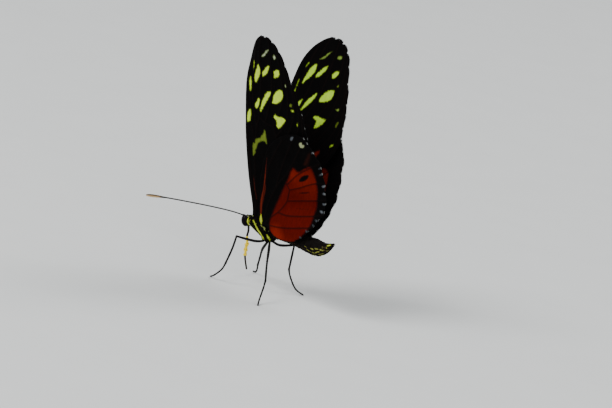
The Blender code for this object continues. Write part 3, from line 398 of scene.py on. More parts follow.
# Broken khaki marks of the abdomen's flank
KHAKI_LINES = [
    [(17.4, 1.75, -1.8, 0.05), (18.0, 1.75, -1.85, 0.06)],
    [(19.43, 1.84, -1.72, 0.1), (20.21, 1.84, -1.76, 0.13)],
    [(20.75, 1.81, -1.4, 0.13), (21.5, 1.64, -1.34, 0.12)],
    [(22.11, 1.53, -1.3, 0.14), (22.56, 1.28, -1.32, 0.15), (22.95, 1.05, -1.28, 0.12)],
    [(23.4, 0.55, -1.2, 0.11), (23.75, 0.3, -1.05, 0.1)],
    [(19.84, 1.5, -2.54, 0.1), (20.51, 1.41, -2.55, 0.12)],
    [(20.93, 1.46, -2.36, 0.13), (21.32, 1.48, -2.13, 0.14), (21.9, 1.43, -1.86, 0.12)],
    [(21.43, 0.9, -2.65, 0.08), (22.11, 0.79, -2.31, 0.1), (22.75, 0.52, -1.94, 0.09)],
    [(22.5, 1.4, -0.35, 0.05), (22.6, 1.4, -0.75, 0.06)],
    [(23.4, 1.1, -0.2, 0.07), (23.55, 0.98, -0.45, 0.09)],
    [(18.2, 1.7, -2.3, 0.05), (19.2, 1.6, -2.5, 0.06)],
]
# Lower end of the rear patch, on the left side alone
PATCH_LINE = [(4.85, -1.12, -3.45, 0.2), (5.2, -0.9, -3.7, 0.24), (5.45, -0.7, -4.0, 0.25),
              (5.35, -0.65, -4.4, 0.1)]
ORANGE_LINES = [
    [(-1.75, 1.35, -1.3, 0.16), (-1.55, 1.42, -1.65, 0.14)],
    [(19.6, 0.78, -3.2, 0.06), (20.4, 0.72, -3.16, 0.12)],
    [(21.39, 0.26, -2.94, 0.13), (21.97, 0.03, -2.67, 0.12)],
]
PALE_LINES = [
    [(-1.35, 1.25, 0.0, 0.15), (-1.1, 1.35, 0.05, 0.17)],
    [(2.35, 1.69, -1.26, 0.09), (2.6, 1.67, -1.38, 0.12), (2.98, 1.48, -1.2, 0.09),
     (3.33, 1.51, -1.49, 0.13), (3.59, 1.55, -1.78, 0.16), (3.68, 1.59, -1.99, 0.09)],
    [(4.6, 1.13, -2.0, 0.05), (4.75, 1.08, -2.12, 0.05)],
    [(-3.6, 0.42, -0.72, 0.1), (-3.45, 0.42, -0.7, 0.1)],
    [(-3.0, 0.3, -0.6, 0.08), (-2.85, 0.3, -0.58, 0.08)],
]
# Thin brown lines along the flank and belly
BROWN_LINES = [
    [(6.2, 1.0, -2.75, 0.03), (10.0, 1.2, -2.5, 0.05), (14.41, 1.47, -2.36, 0.06),
     (16.45, 1.56, -2.49, 0.07), (17.92, 1.62, -2.5, 0.07), (18.93, 1.62, -2.47, 0.08),
     (19.63, 1.53, -2.59, 0.09)],
    [(6.2, 0.7, -3.1, 0.03), (9.5, 0.85, -2.8, 0.05), (12.31, 1.05, -2.73, 0.06),
     (14.14, 1.04, -2.92, 0.06), (15.8, 1.15, -2.97, 0.07), (17.17, 0.95, -3.11, 0.08),
     (18.62, 1.12, -3.13, 0.08), (19.2, 0.8, -3.3, 0.07)],
    [(17.4, 1.83, -1.85, 0.08), (18.4, 1.86, -1.9, 0.09)],
    [(22.3, 1.5, -0.3, 0.1), (23.0, 1.2, -0.5, 0.12)],
    [(23.0, 1.05, -1.2, 0.12), (23.5, 0.67, -1.11, 0.1)],
]
BODY_LINES = {"stripe": YELLOW_LINES, "orange": ORANGE_LINES, "pale": PALE_LINES,
              "brown": BROWN_LINES, "khaki": KHAKI_LINES}

# Hair of the head, thorax and abdomen: name, hairs per square millimetre, the way it lies,
# its length and half width, and how steeply it stands
BODY_HAIR = [
    ("head_hair", 42.0, (0.55, 0.0, 0.1), (0.16, 0.32), (0.016, 0.024), 0.5),
    ("thorax_hair", 46.0, (1.0, 0.0, -0.35), (0.34, 0.72), (0.016, 0.026), 0.42),
    ("abdomen_scales", 26.0, (1.0, 0.0, 0.05), (0.22, 0.4), (0.03, 0.045), 0.1),
]
HEAD, THORAX = 0, 1
# Stations where the head's hair and the thorax's hair end
HAIR_LIMITS = (-2.3, 5.2)
# Places of a hair's seven points on the unwrap
HAIR_UNWRAP = [(0.0, 0.0), (0.001, 0.0), (0.002, 0.0), (0.0, 0.0015), (0.001, 0.0015),
               (0.002, 0.0015), (0.001, 0.003)]


def world(p):
    return (Vector(p) + SHIFT) * MM


def smooth(t):
    t = np.clip(t, 0.0, 1.0)
    return t * t * (3.0 - 2.0 * t)


# Curves and distances

def catmull(points, step, closed=False):
    # Even samples of a smooth curve through the points, each with its span's index.
    pts = [Vector(p) for p in points]
    count = len(pts)
    out = []
    last = count if closed else count - 1
    for i in range(last):
        if closed:
            p0, p1, p2, p3 = (pts[(i + k - 1) % count] for k in range(4))
        else:
            p0, p1, p2, p3 = (pts[min(max(i + k - 1, 0), last)] for k in range(4))
        parts = max(1, round((p2 - p1).length / step))
        for k in range(parts):
            t = k / parts
            a = 2.0 * p1
            b = (p2 - p0) * t
            c = (2.0 * p0 - 5.0 * p1 + 4.0 * p2 - p3) * t * t
            d = (3.0 * p1 - p0 - 3.0 * p2 + p3) * t * t * t
            out.append((0.5 * (a + b + c + d), i))
    if not closed:
        out.append((pts[-1], last))
    return out


def curve(points, step):
    return [p for p, _ in catmull(points, step)]


def curve_array(points, step, closed=False):
    return np.array([tuple(p) for p, _ in catmull(points, step, closed)])


def line_distance(points, line):
    # Distance to a line, less its half width where its points end with one.
    best = np.full(len(points), 1e9)
    size = points.shape[1]
    for a, b in zip(line[:-1], line[1:]):
        ab = b[:size] - a[:size]
        t = np.clip(((points - a[:size]) @ ab) / max(float(ab @ ab), 1e-12), 0.0, 1.0)
        away = np.linalg.norm(points - a[:size] - t[:, None] * ab, axis=1)
        if len(a) > size:
            away = away - a[size] - t * (b[size] - a[size])
        best = np.minimum(best, away)
    return best


def lines_distance(points, lines):
    return np.min([line_distance(points, line) for line in lines], axis=0)


def bands_distance(points, bands):
    return lines_distance(points, [curve_array(band, 0.25) for band in bands])


def area_distance(points, loop):
    # Signed distance to a closed outline, negative inside.
    ring = np.vstack([loop, loop[:1]])
    best = line_distance(points, ring)
    hit = np.zeros(len(points), bool)
    for a, b in zip(ring[:-1], ring[1:]):
        if a[1] == b[1]:
            continue
        cross = (a[1] > points[:, 1]) != (b[1] > points[:, 1])
        x = (b[0] - a[0]) * (points[:, 1] - a[1]) / (b[1] - a[1]) + a[0]
        hit ^= cross & (points[:, 0] < x)
    return np.where(hit, -best, best)


def areas_distance(points, loops, step=0.25):
    areas = [area_distance(points, curve_array(loop, step, True)) for loop in loops]
    return np.minimum(np.min(areas, axis=0), FAR)


# Materials

class Paint:
    # A material whose nodes are added one call at a time.
    def __init__(self, name, rough, specular):
        self.mat = bpy.data.materials.new(name)
        self.mat.use_nodes = True
        self.inputs = self.mat.node_tree.nodes["Principled BSDF"].inputs
        self.inputs["Roughness"].default_value = rough
        self.inputs["Specular IOR Level"].default_value = specular

    def plug(self, socket, value):
        if isinstance(value, bpy.types.NodeSocket):
            self.mat.node_tree.links.new(value, socket)
        elif isinstance(value, tuple):
            socket.default_value = (*value, 1.0)[:len(socket.default_value)]
        else:
            socket.default_value = value

    def add(self, kind, inputs, **settings):
        node = self.mat.node_tree.nodes.new("ShaderNode" + kind)
        for key, value in settings.items():
            setattr(node, key, value)
        for key, value in inputs.items():
            self.plug(node.inputs[key], value)
        return node.outputs

    def attribute(self, name):
        return self.add("Attribute", {}, attribute_name=name)["Fac"]

    def calc(self, operation, a, b):
        return self.add("Math", {0: a, 1: b}, operation=operation)[0]

    def mix(self, factor, a, b):
        return self.add("Mix", {0: factor, 6: a, 7: b}, data_type="RGBA")[2]

    def mask(self, value, low, high):
        # Smooth 0 to 1 as the value goes from low to high; high may be the smaller.
        ends = (low, high, 0.0, 1.0) if low < high else (high, low, 1.0, 0.0)
        inputs = dict(enumerate((value, *ends)))
        return self.add("MapRange", inputs, interpolation_type="SMOOTHSTEP")[0]

    def where(self, scale=(1.0, 1.0, 1.0)):
        place = self.add("TexCoord", {})["Object"]
        return self.add("Mapping", {"Vector": place, "Scale": scale})["Vector"]

    def noise(self, vector, scale, detail=2.0):
        inputs = {"Vector": vector, "Scale": scale, "Detail": detail}
        return self.add("TexNoise", inputs)["Fac"]

    def cells(self, vector, scale):
        return self.add("TexVoronoi", {"Vector": vector, "Scale": scale})["Distance"]

    def wobble(self, value, middle, gain):
        return self.calc("MULTIPLY", self.calc("SUBTRACT", value, middle), gain)

    def mark(self, colour, name, wobble, low, high, tint, strength=1.0):
        # The tint laid over the colour inside the named marking.
        mask = self.mask(self.calc("ADD", self.attribute(name), wobble), low, high)
        if strength < 1.0:
            mask = self.calc("MULTIPLY", mask, strength)
        return self.mix(mask, colour, tint)

    def done(self, colour, height=None, strength=0.0, depth=0.0):
        self.plug(self.inputs["Base Color"], colour)
        if height is not None:
            inputs = {"Height": height, "Strength": strength, "Distance": depth}
            self.plug(self.inputs["Normal"], self.add("Bump", inputs)["Normal"])
        return self.mat


def wing_material():
    p = Paint("wing_scales", 0.85, 0.025)
    where = p.where()
    grain = p.noise(where, 5200.0)
    streaks = p.noise(p.where((1.0, 1.0, 0.25)), 2400.0)
    ragged = p.wobble(grain, 0.5, 0.34)
    torn = p.calc("ADD", ragged, p.wobble(p.noise(where, 1500.0, 1.0), 0.45, 0.55))
    soft = p.wobble(grain, 0.5, 0.9)
    under = p.attribute("under")
    # Dark ground
    ground = p.mix(p.noise(where, 420.0, 3.0), (0.0008, 0.0007, 0.0008), (0.0024, 0.0018, 0.0018))
    ground = p.mix(p.mask(streaks, 0.66, 0.8), ground, (0.004, 0.003, 0.003))
    ground = p.mark(ground, "smudge", soft, 0.5, -0.5, (0.022, 0.005, 0.003), 0.7)
    # Red fields
    red_low = p.mix(streaks, (0.048, 0.0014, 0.0006), (0.09, 0.0034, 0.0012))
    red_high = p.mix(streaks, (0.13, 0.005, 0.0012), (0.22, 0.013, 0.0025))
    # Painted light: the red turns lighter with this attribute, which on the underside holds the
    # painted light.
    red = p.mix(p.attribute("glow"), red_low, red_high)
    colour = p.mark(ground, "red", soft, 0.45, -0.4, red)
    colour = p.mark(colour, "line", ragged, 0.12, -0.16, (0.095, 0.0095, 0.0035))
    colour = p.mark(colour, "dark", ragged, 0.16, -0.18, (0.003, 0.002, 0.002))
    # Veins run dark over every marking
    on_vein = p.mask(p.attribute("vein"), 0.3, 0.08)
    colour = p.mix(p.calc("MULTIPLY", on_vein, 0.62), colour, (0.004, 0.0022, 0.002))
    # Yellow-green windows
    warm = p.mix(streaks, (0.37, 0.56, 0.018), (0.64, 0.84, 0.06))
    fresh = p.mix(streaks, (0.27, 0.48, 0.012), (0.48, 0.72, 0.045))
    olive = p.mix(streaks, (0.085, 0.12, 0.012), (0.155, 0.2, 0.025))
    green = p.mix(streaks, (0.1, 0.17, 0.025), (0.22, 0.31, 0.06))
    chalky = p.mix(streaks, (0.24, 0.29, 0.16), (0.44, 0.49, 0.33))
    weak = p.mix(p.attribute("wan"), olive, p.mix(under, green, chalky))
    window = p.mix(p.attribute("dull"), p.mix(under, fresh, warm), weak)
    colour = p.mark(colour, "spot", torn, 0.13, -0.08, (0.045, 0.065, 0.006))
    colour = p.mark(colour, "spot", torn, 0.04, -0.34, window)
    colour = p.mark(colour, "yellow", ragged, 0.15, -0.15, (0.4, 0.46, 0.03))
    # White marks, and fringe flecks dimmed by painted shade
    pale = p.mix(p.attribute("tone"), (0.01, 0.016, 0.02), (0.115, 0.125, 0.14))
    colour = p.mark(colour, "white", ragged, 0.2, -0.16, pale)
    colour = p.mark(colour, "cream", ragged, 0.16, -0.16, (0.28, 0.31, 0.16))
    # Painted shade: the flecks' white is dimmed by this attribute.
    shaded_chalk = p.mix(p.attribute("keen"), (0.01, 0.012, 0.012), (0.6, 0.62, 0.6))
    colour = p.mark(colour, "fleck", ragged, 0.12, -0.12, shaded_chalk)
    p.plug(p.inputs["Roughness"], p.calc("ADD", p.calc("MULTIPLY", grain, 0.2), 0.74))
    # Overlapping scale rows
    across, along = (p.calc("MULTIPLY", p.attribute(name), gain)
                     for name, gain in (("span", 0.8), ("chord", 1.6)))
    rows = p.add("CombineXYZ", {0: across, 1: along})[0]
    height = p.calc("ADD", p.cells(rows, 7.0), p.calc("MULTIPLY", grain, 0.5))
    return p.done(colour, height, 0.35, 0.00005)


def body_material():
    p = Paint("body_skin", 0.75, 0.05)
    where = p.where()
    grain = p.noise(where, 4200.0, 3.0)
    patches = p.noise(where, 900.0)
    ragged = p.wobble(grain, 0.5, 0.3)
    yellow = p.mix(patches, (0.42, 0.52, 0.028), (0.62, 0.7, 0.06))
    broken = p.mix(grain, (0.1, 0.09, 0.025), (0.5, 0.48, 0.1))
    colour = p.mix(patches, (0.002, 0.0015, 0.0016), (0.007, 0.0048, 0.0038))
    for name, low, high, tint in (
            ("brown", 0.1, -0.12, (0.075, 0.05, 0.022)), ("stripe", 0.1, -0.12, yellow),
            ("khaki", 0.1, -0.12, broken), ("orange", 0.12, -0.12, (0.42, 0.28, 0.02)),
            ("pale", 0.1, -0.1, (0.42, 0.46, 0.2))):
        colour = p.mark(colour, name, ragged, low, high, tint)
    height = p.calc("ADD", p.cells(where, 5200.0), p.calc("MULTIPLY", grain, 0.6))
    return p.done(colour, height, 0.5, 0.00006)


def two_tone_material(name, rough, gloss, dark, pale, hair=False):
    # Dark or pale by the attribute tint, each of them ranging between two colours.
    p = Paint(name, rough, gloss)
    where = p.where()
    if hair:
        vary, relief = p.attribute("shade"), (p.noise(where, 9000.0), 0.2, 0.00002)
    else:
        vary, relief = p.noise(where, 3600.0, 3.0), (p.cells(where, 7000.0), 0.45, 0.00004)
    colour = p.mix(p.attribute("tint"), p.mix(vary, *dark), p.mix(vary, *pale))
    return p.done(colour, *relief)


def eye_material():
    p = Paint("eye_facets", 0.3, 0.045)
    where = p.where()
    colour = p.mix(p.noise(where, 500.0), (0.0012, 0.0008, 0.0012), (0.005, 0.0025, 0.004))
    return p.done(colour, p.cells(where, 9500.0), 0.3, 0.00004)


def tongue_material():
    p = Paint("tongue", 0.5, 0.12)
    grain = p.noise(p.where(), 2600.0, 3.0)
    horn = p.mix(grain, (0.004, 0.002, 0.0014), (0.014, 0.006, 0.003))
    pollen = p.mix(grain, (0.84, 0.54, 0.006), (1.0, 0.84, 0.025))
    dust = p.calc("ADD", p.attribute("dust"), p.calc("MULTIPLY", grain, 0.5))
    mask = p.mask(dust, 0.55, 0.85)
    p.plug(p.inputs["Roughness"], p.mix(mask, (0.35, 0.35, 0.35), (0.8, 0.8, 0.8)))
    return p.done(p.mix(mask, horn, pollen), grain, 0.5, 0.00006)


def floor_material():
    p = Paint("floor_matte", 0.9, 0.1)
    return p.done(p.mix(p.noise(p.where(), 60.0), (0.6, 0.61, 0.6), (0.63, 0.64, 0.63)))


MATERIALS = {
    "wing": wing_material(),
    "body": body_material(),
    "hair": two_tone_material(
        "body_hair", 0.7, 0.05, ((0.0012, 0.001, 0.0012), (0.006, 0.0042, 0.0034)),
        ((0.42, 0.5, 0.03), (0.66, 0.72, 0.09)), hair=True),
    "fringe": two_tone_material(
        "wing_fringe", 0.8, 0.08, ((0.0015, 0.0012, 0.0013), (0.005, 0.004, 0.004)),
        ((0.7, 0.72, 0.7), (0.86, 0.88, 0.86)), hair=True),
    "eye": eye_material(),
    "leg": two_tone_material(
        "leg_horn", 0.55, 0.1, ((0.0012, 0.0011, 0.0012), (0.004, 0.0032, 0.003)),
        ((0.4, 0.42, 0.24), (0.56, 0.58, 0.36))),
    "feeler": two_tone_material(
        "feeler_horn", 0.55, 0.12, ((0.002, 0.0016, 0.0014), (0.008, 0.0055, 0.004)),
        ((0.42, 0.25, 0.1), (0.66, 0.46, 0.24))),
    "tongue": tongue_material(),
    "floor": floor_material(),
}


# Mesh helpers

def added(name, data):
    obj = bpy.data.objects.new(name, data)
    bpy.context.scene.collection.objects.link(obj)
    return obj


def make(name, verts, faces, kind, values=None):
    # verts are in millimetres; values maps attribute names to one number per vertex.
    mesh = bpy.data.meshes.new(name)
    places = (np.asarray(verts, float) + np.array(SHIFT)) * MM
    mesh.from_pydata([tuple(p) for p in places], [], [tuple(f) for f in faces])
    for key, array in (values or {}).items():
        layer = mesh.attributes.new(key, "FLOAT", "POINT")
        layer.data.foreach_set("value", np.asarray(array, np.float32))
    mesh.materials.append(MATERIALS[kind])
    mesh.update()
    mesh.polygons.foreach_set("use_smooth", np.ones(len(mesh.polygons), bool))
    return added(name, mesh)


def placed(obj, slot, *nodes):
    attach(obj, "root")
    if nodes:
        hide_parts(*nodes)
    return obj


def side_name(sign):
    return "left" if sign < 0 else "right"


def add_ring(verts, centre, across, up, radius, sides):
    for k in range(sides):
        a = 2.0 * math.pi * k / sides
        verts.append(centre + (across * math.cos(a) + up * math.sin(a)) * radius)


def ring_faces(rows, sides, first=0):
    faces = []
    for a in range(first, first + (rows - 1) * sides, sides):
        for k in range(sides):
            m = (k + 1) % sides
            faces.append((a + k, a + m, a + sides + m, a + sides + k))
    return faces


def closed_faces(rows, sides, first=0):
    # Rings closed by fans to the two end points that follow them.
    faces = ring_faces(rows, sides, first)
    last = first + (rows - 1) * sides
    start = last + sides
    for k in range(sides):
        m = (k + 1) % sides
        faces.append((start, first + m, first + k))
        faces.append((start + 1, last + k, last + m))
    return faces


def tube_arrays(path, radii, sides, first=0):
    # Rings round the path, closed at both ends by a point.
    pts = [Vector(p) for p in path]
    verts = []
    side = None
    for i, p in enumerate(pts):
        t = (pts[min(i + 1, len(pts) - 1)] - pts[max(i - 1, 0)]).normalized()
        if side is None:
            side = t.orthogonal().normalized()
            if abs(t.z) < 0.9:
                side = t.cross(UP).normalized()
        side = (side - t * side.dot(t)).normalized()
        add_ring(verts, p, side, t.cross(side), radii[i], sides)
    verts.append(pts[0] - (pts[1] - pts[0]).normalized() * radii[0] * TUBE_CAP)
    verts.append(pts[-1] + (pts[-1] - pts[-2]).normalized() * radii[-1] * TUBE_CAP)
    return verts, closed_faces(len(pts), sides, first)


def add_spike(verts, faces, way, rings, tip, sides):
    # A pointed blade: two rings, given by centre and radius, and a tip.
    side = way.orthogonal().normalized()
    base = len(verts)
    for centre, radius in rings:
        add_ring(verts, centre, side, way.cross(side), radius, sides)
    verts.append(tip)
    for k in range(sides):
        m = (k + 1) % sides
        faces.append((base + k, base + m, base + sides + m, base + sides + k))
        faces.append((base + sides + k, base + sides + m, base + 2 * sides))


# Wings

def fore_surface(u, v):
    # Points of the left wing at the given spans and chords.
    s, c = u / BEND_SPAN, v / BEND_CHORD
    w = BEND[0] * s ** 2 + BEND[1] * s * c + BEND[2] * c ** 2
    w = w - CURL * smooth((-v - 1.5) / 4.0) * smooth((u - 31.0) / 8.0)
    origin = np.array((0.0, -HINGE_HALF, 0.0))
    return origin + np.outer(u, WING_U) + np.outer(v, WING_V) + np.outer(w, WING_N)


def hind_surface(u, v):
    # Outside the forewing, round the abdomen at the root, and nearer to it past its rear edge.
    fold = ABDOMEN_CLEARANCE * smooth((8.0 - u) / 8.0) * smooth((v - 0.5) / 13.0)
    rear_edge = 1.6 + 0.95 * u - 0.0165 * u * u
    inward = HINDWING_INWARD * smooth((v - rear_edge - 0.4) / 6.0)
    inward = inward * (1.0 - smooth((9.0 - u) / 8.0))
    return fore_surface(u, v) + np.outer(HINDWING_OFFSET + fold - inward, WING_N)


def right_hind_surface(u, v):
    # The same surface with its outer margin drawn in, as in the photograph.
    drawn = np.zeros(len(u))
    for (a, low), (b, high) in zip(RIGHT_DRAWN_IN, RIGHT_DRAWN_IN[1:]):
        inside = (u >= a) & (u <= b)
        drawn = np.where(inside, low + (high - low) * smooth((u - a) / (b - a)), drawn)
    return hind_surface(u, v - drawn * smooth((v - 6.0) / 9.0))


def wing_surface(hind, sign):
    if not hind:
        return fore_surface
    return hind_surface if sign < 0 else right_hind_surface


def wing_loop(outline, scalloped, veins, step):
    # The outline with a scalloped margin, and which of its points lie on that margin.
    ends = [Vector(line[-1]) for line in veins]
    loop = []
    outer = []
    for p, i in catmull(outline, step, closed=True):
        on_margin = scalloped[0] <= i < scalloped[1]
        if on_margin:
            near = min((p - e).length for e in ends)
            p = p + (WING_CENTRE - p).normalized() * SCALLOP_DEPTH * smooth(near / SCALLOP_REACH)
        loop.append(p)
        outer.append(on_margin)
    return loop, outer


def mark_axes(a, b):
    # Directions outward and along the margin at a pale dot.
    out = np.array((a - MARK_CENTRE[0], b - MARK_CENTRE[1]))
    out = out / np.linalg.norm(out)
    return out, np.array((-out[1], out[0]))


def mark_rings():
    # Close rings of points around the pale dots, so that their edges come out round.
    rows = []
    for a, b, length, width, _ in WHITE_MARKS:
        out, across = mark_axes(a, b)
        for grow in (0.5, 1.0, 1.7):
            for k in range(10):
                turn = 2.0 * math.pi * k / 10
                step = out * math.cos(turn) * length + across * math.sin(turn) * width
                rows.append(np.array((a, b)) + step * grow)
    return np.array(rows)


def wing_grid(outline, scalloped, veins, extra=None):
    # Fine flat mesh of a wing: margin, vein crests with close side rows, and a fill.
    loop, outer = wing_loop(outline, scalloped, veins, GRID_STEP * 1.1)
    rim = np.array([tuple(p) for p in loop])
    lines = [curve_array(line, GRID_STEP * 1.2) for line in veins]
    edges = []
    crest = []
    for line in lines:
        ids = []
        for q in line:
            found = None
            for k, other in enumerate(crest):
                if abs(other[0] - q[0]) + abs(other[1] - q[1]) < GRID_STEP * 0.5:
                    found = len(rim) + k
            if found is None:
                crest.append(q)
                found = len(rim) + len(crest) - 1
            ids.append(found)
        edges.extend((a, b) for a, b in zip(ids, ids[1:]) if a != b)
    low, high = rim.min(0), rim.max(0)
    rows = []
    y = low[1]
    while y < high[1]:
        x = np.arange(low[0] + 0.5 * GRID_STEP * (len(rows) % 2), high[0], GRID_STEP)
        rows.append(np.stack([x, np.full(len(x), y)], 1))
        y += GRID_STEP * ROW_RATIO

    def clear(points, from_rim, from_vein):
        # Points inside the wing, so far from the margin and so many half widths from a vein.
        inside = area_distance(points, rim) < -from_rim
        return points[inside & (lines_distance(points, lines) > VEIN_HALF_WIDTH * from_vein)]

    fill = clear(np.vstack(rows), GRID_STEP * 0.55, 1.35)
    if extra is not None:
        extra = clear(extra, 0.09, 1.35)
        gaps = np.linalg.norm(fill[:, None, :] - extra[None, :, :], axis=2).min(axis=1)
        fill = np.vstack([fill[gaps > 0.13], extra])
    sides = []
    for line in lines:
        along = np.gradient(line, axis=0)
        along = along / np.maximum(np.linalg.norm(along, axis=1, keepdims=True), 1e-9)
        across = np.stack([-along[:, 1], along[:, 0]], 1)
        sides.extend((line + across * VEIN_HALF_WIDTH, line - across * VEIN_HALF_WIDTH))
    sides = clear(np.vstack(sides), GRID_STEP * 0.5, 0.9)
    points = [Vector(p) for p in np.vstack([rim, crest, fill, sides])]
    result = delaunay_2d_cdt(points, edges, [list(range(len(rim)))], 1, 0.004)
    flat = np.array([tuple(p) for p in result[0]])
    return flat, result[2], lines, loop, outer


def margin_notches(loop, hind):
    # The notches of the margin, moved onto it.
    rim = np.array([tuple(p) for p in loop])
    notches = HINDWING_NOTCHES if hind else FOREWING_NOTCHES
    return [rim[np.argmin(np.linalg.norm(rim - np.array(n), axis=1))] for n in notches]


def painted_fleck_shade(u, hind, below):
    # Brightness of the fringe's flecks, with painted shade: they are dimmer on the underside, which
    # lies in shadow.
    # Given for one span or for an array of spans.
    if hind and below:
        return 0.06 + 0.2 * smooth((u - 3.0) / 8.0)
    if hind:
        return 0.3 + 0.5 * smooth((u - 10.0) / 3.0)
    if below:
        return 0.1 + 0.8 * smooth((u - 36.0) / 5.0)
    return np.ones_like(u)


def hind_below_values(flat):
    # Markings of the hindwing's underside.
    marks = []
    for a, b, length, width, _ in WHITE_MARKS:
        away = (flat - np.array((a, b))) @ np.stack(mark_axes(a, b), 1)
        near = np.hypot(away[:, 0] / length, away[:, 1] / width)
        marks.append((near - 1.0) * min(length, width))
    marks.append(area_distance(flat, curve_array(GREY_MARK, 0.25, True)))
    tones = np.array([mark[4] for mark in WHITE_MARKS] + [0.5])
    # Painted light: the red field is painted brighter toward the root and at the given places.
    glow = np.clip((1.0 - flat[:, 0]) / 3.0, 0.0, 1.0) * 0.3
    for place, reach, gain in RED_PAINTED_LIGHT:
        away = np.linalg.norm(flat - np.array(place), axis=1)
        glow = glow + np.maximum(1.0 - away / reach, 0.0) * gain
    return {
        "red": areas_distance(flat, [RED_BELOW], 0.4),
        "glow": np.clip(glow, 0.0, 1.0),
        "dark": np.minimum(areas_distance(flat, DARK_MARKS), bands_distance(flat, DARK_BARS)),
        "smudge": areas_distance(flat, [SMUDGE]),
        "white": np.min(marks, axis=0),
        "tone": tones[np.argmin(marks, axis=0)],
        "cream": areas_distance(flat, [CREAM_MARK]),
        "line": bands_distance(flat, [HINDWING_RED_LINE]),
        "yellow": areas_distance(flat, [HINDWING_YELLOW]),
    }


def fore_spots(flat, vivid, weak):
    # The forewing's windows, and which of them are dull or faintest of all.
    bright = areas_distance(flat, vivid)
    faint = areas_distance(flat, weak)
    wan = areas_distance(flat, weak[:3])
    return {
        "spot": np.minimum(bright, faint),
        "dull": (faint < bright).astype(float),
        "wan": ((wan < bright) & (wan < faint + 0.01)).astype(float),
    }


def side_values(flat, hind, below):
    # Distances in millimetres from every point to each marking of one side of a wing.
    values = dict.fromkeys(DISTANCES, np.full(len(flat), FAR))
    values.update(dict.fromkeys(("glow", "dull", "wan"), np.zeros(len(flat))))
    # Painted shade of the fringe's flecks
    values["keen"] = painted_fleck_shade(flat[:, 0], hind, below)
    values["under"] = np.full(len(flat), float(below))
    if hind and below:
        values.update(hind_below_values(flat))
    elif hind:
        values["red"] = areas_distance(flat, [RED_ABOVE], 0.4)
        values["glow"] = np.full(len(flat), 0.9)
    elif below:
        values.update(fore_spots(flat, BRIGHT_SPOTS, DULL_SPOTS))
        values["line"] = bands_distance(flat, [FOREWING_RED_LINE])
    else:
        values.update(fore_spots(flat, BRIGHT_SPOTS_ABOVE, DULL_SPOTS_ABOVE))
        values["red"] = areas_distance(flat, [FOREWING_RAY], 0.4)
        values["glow"] = np.full(len(flat), 0.8)
    return values


def build_wing(name, hind, sign, grid):
    flat, faces, lines, loop, _ = grid
    notches = margin_notches(loop, hind)
    rim = line_distance(flat, np.array([tuple(p) for p in loop + loop[:1]]))
    vein = lines_distance(flat, lines)
    notch = np.min([np.linalg.norm(flat - n, axis=1) for n in notches], axis=0)
    u, v = flat[:, 0], flat[:, 1]
    both = {"vein": vein, "span": u, "chord": v, "fleck": np.maximum(rim - 0.1, notch - 0.22)}
    ridge = VEIN_RIDGE * np.maximum(0.0, 1.0 - vein / VEIN_HALF_WIDTH) * smooth(rim / 0.5)
    stout = ROOT_STOUTNESS * smooth((ROOT_SPAN - u) / ROOT_SPAN)
    pleat = PLEAT_DEPTH * np.sin(np.clip(vein / PLEAT_REACH, 0.0, 1.0) * math.pi * 0.5)
    normal = np.array(WING_N)
    middle = wing_surface(hind, sign)(u, v) - np.outer(pleat, normal)
    half = np.outer(MEMBRANE_HALF + ridge + stout, normal)
    top = middle + half
    verts = np.vstack([top, middle - half])
    count = len(flat)
    # Seen from the outer face the flat mesh may turn either way, so the side is tested once.
    a, b, c = (Vector(top[i]) for i in faces[0])
    if (b - a).cross(c - a).dot(WING_N) <= 0.0:
        faces = [face[::-1] for face in faces]
    border = {edge for face in faces for edge in zip(face, face[1:] + face[:1])}
    all_faces = []
    for face in faces:
        all_faces.append(face)
        all_faces.append([i + count for i in reversed(face)])
    for a, b in border:
        if (b, a) not in border:
            all_faces.append([b, a, a + count, b + count])
    if sign > 0:
        verts[:, 1] *= -1.0
        all_faces = [face[::-1] for face in all_faces]
    below, above = side_values(flat, hind, True), side_values(flat, hind, False)
    values = {key: np.concatenate([array, array]) for key, array in both.items()}
    values.update({key: np.concatenate([below[key], above[key]]) for key in below})
    return make(name, verts, all_faces, "wing", values)


def hair_mesh(name, hairs, kind):
    # Each hair is a three-sided blade with one bend. It has a root, direction, length, width,
    # way of its bend, tint, shade and place on the unwrap.
    verts = []
    faces = []
    uvs = []
    tint = []
    shade = []
    for root, way, length, width, bend_way, t, s, uv in hairs:
        way = way.normalized()
        rings = ((root - way * length * 0.12, width), (root + way * length * 0.55, width * 0.8))
        tip = root + way * length * 0.92 + bend_way * length * 0.3
        add_spike(verts, faces, way, rings, tip, 3)
        uvs.extend((uv[0] + x, uv[1] + y) for x, y in HAIR_UNWRAP)
        tint.extend([t] * len(HAIR_UNWRAP))
        shade.extend([s] * len(HAIR_UNWRAP))
    obj = make(name, verts, faces, kind, {"tint": tint, "shade": shade})
    layer = obj.data.uv_layers.new(name="OFBake")
    index = np.zeros(len(obj.data.loops), np.int32)
    obj.data.loops.foreach_get("vertex_index", index)
    layer.data.foreach_set("uv", np.array(uvs, np.float32)[index].ravel())
    return obj


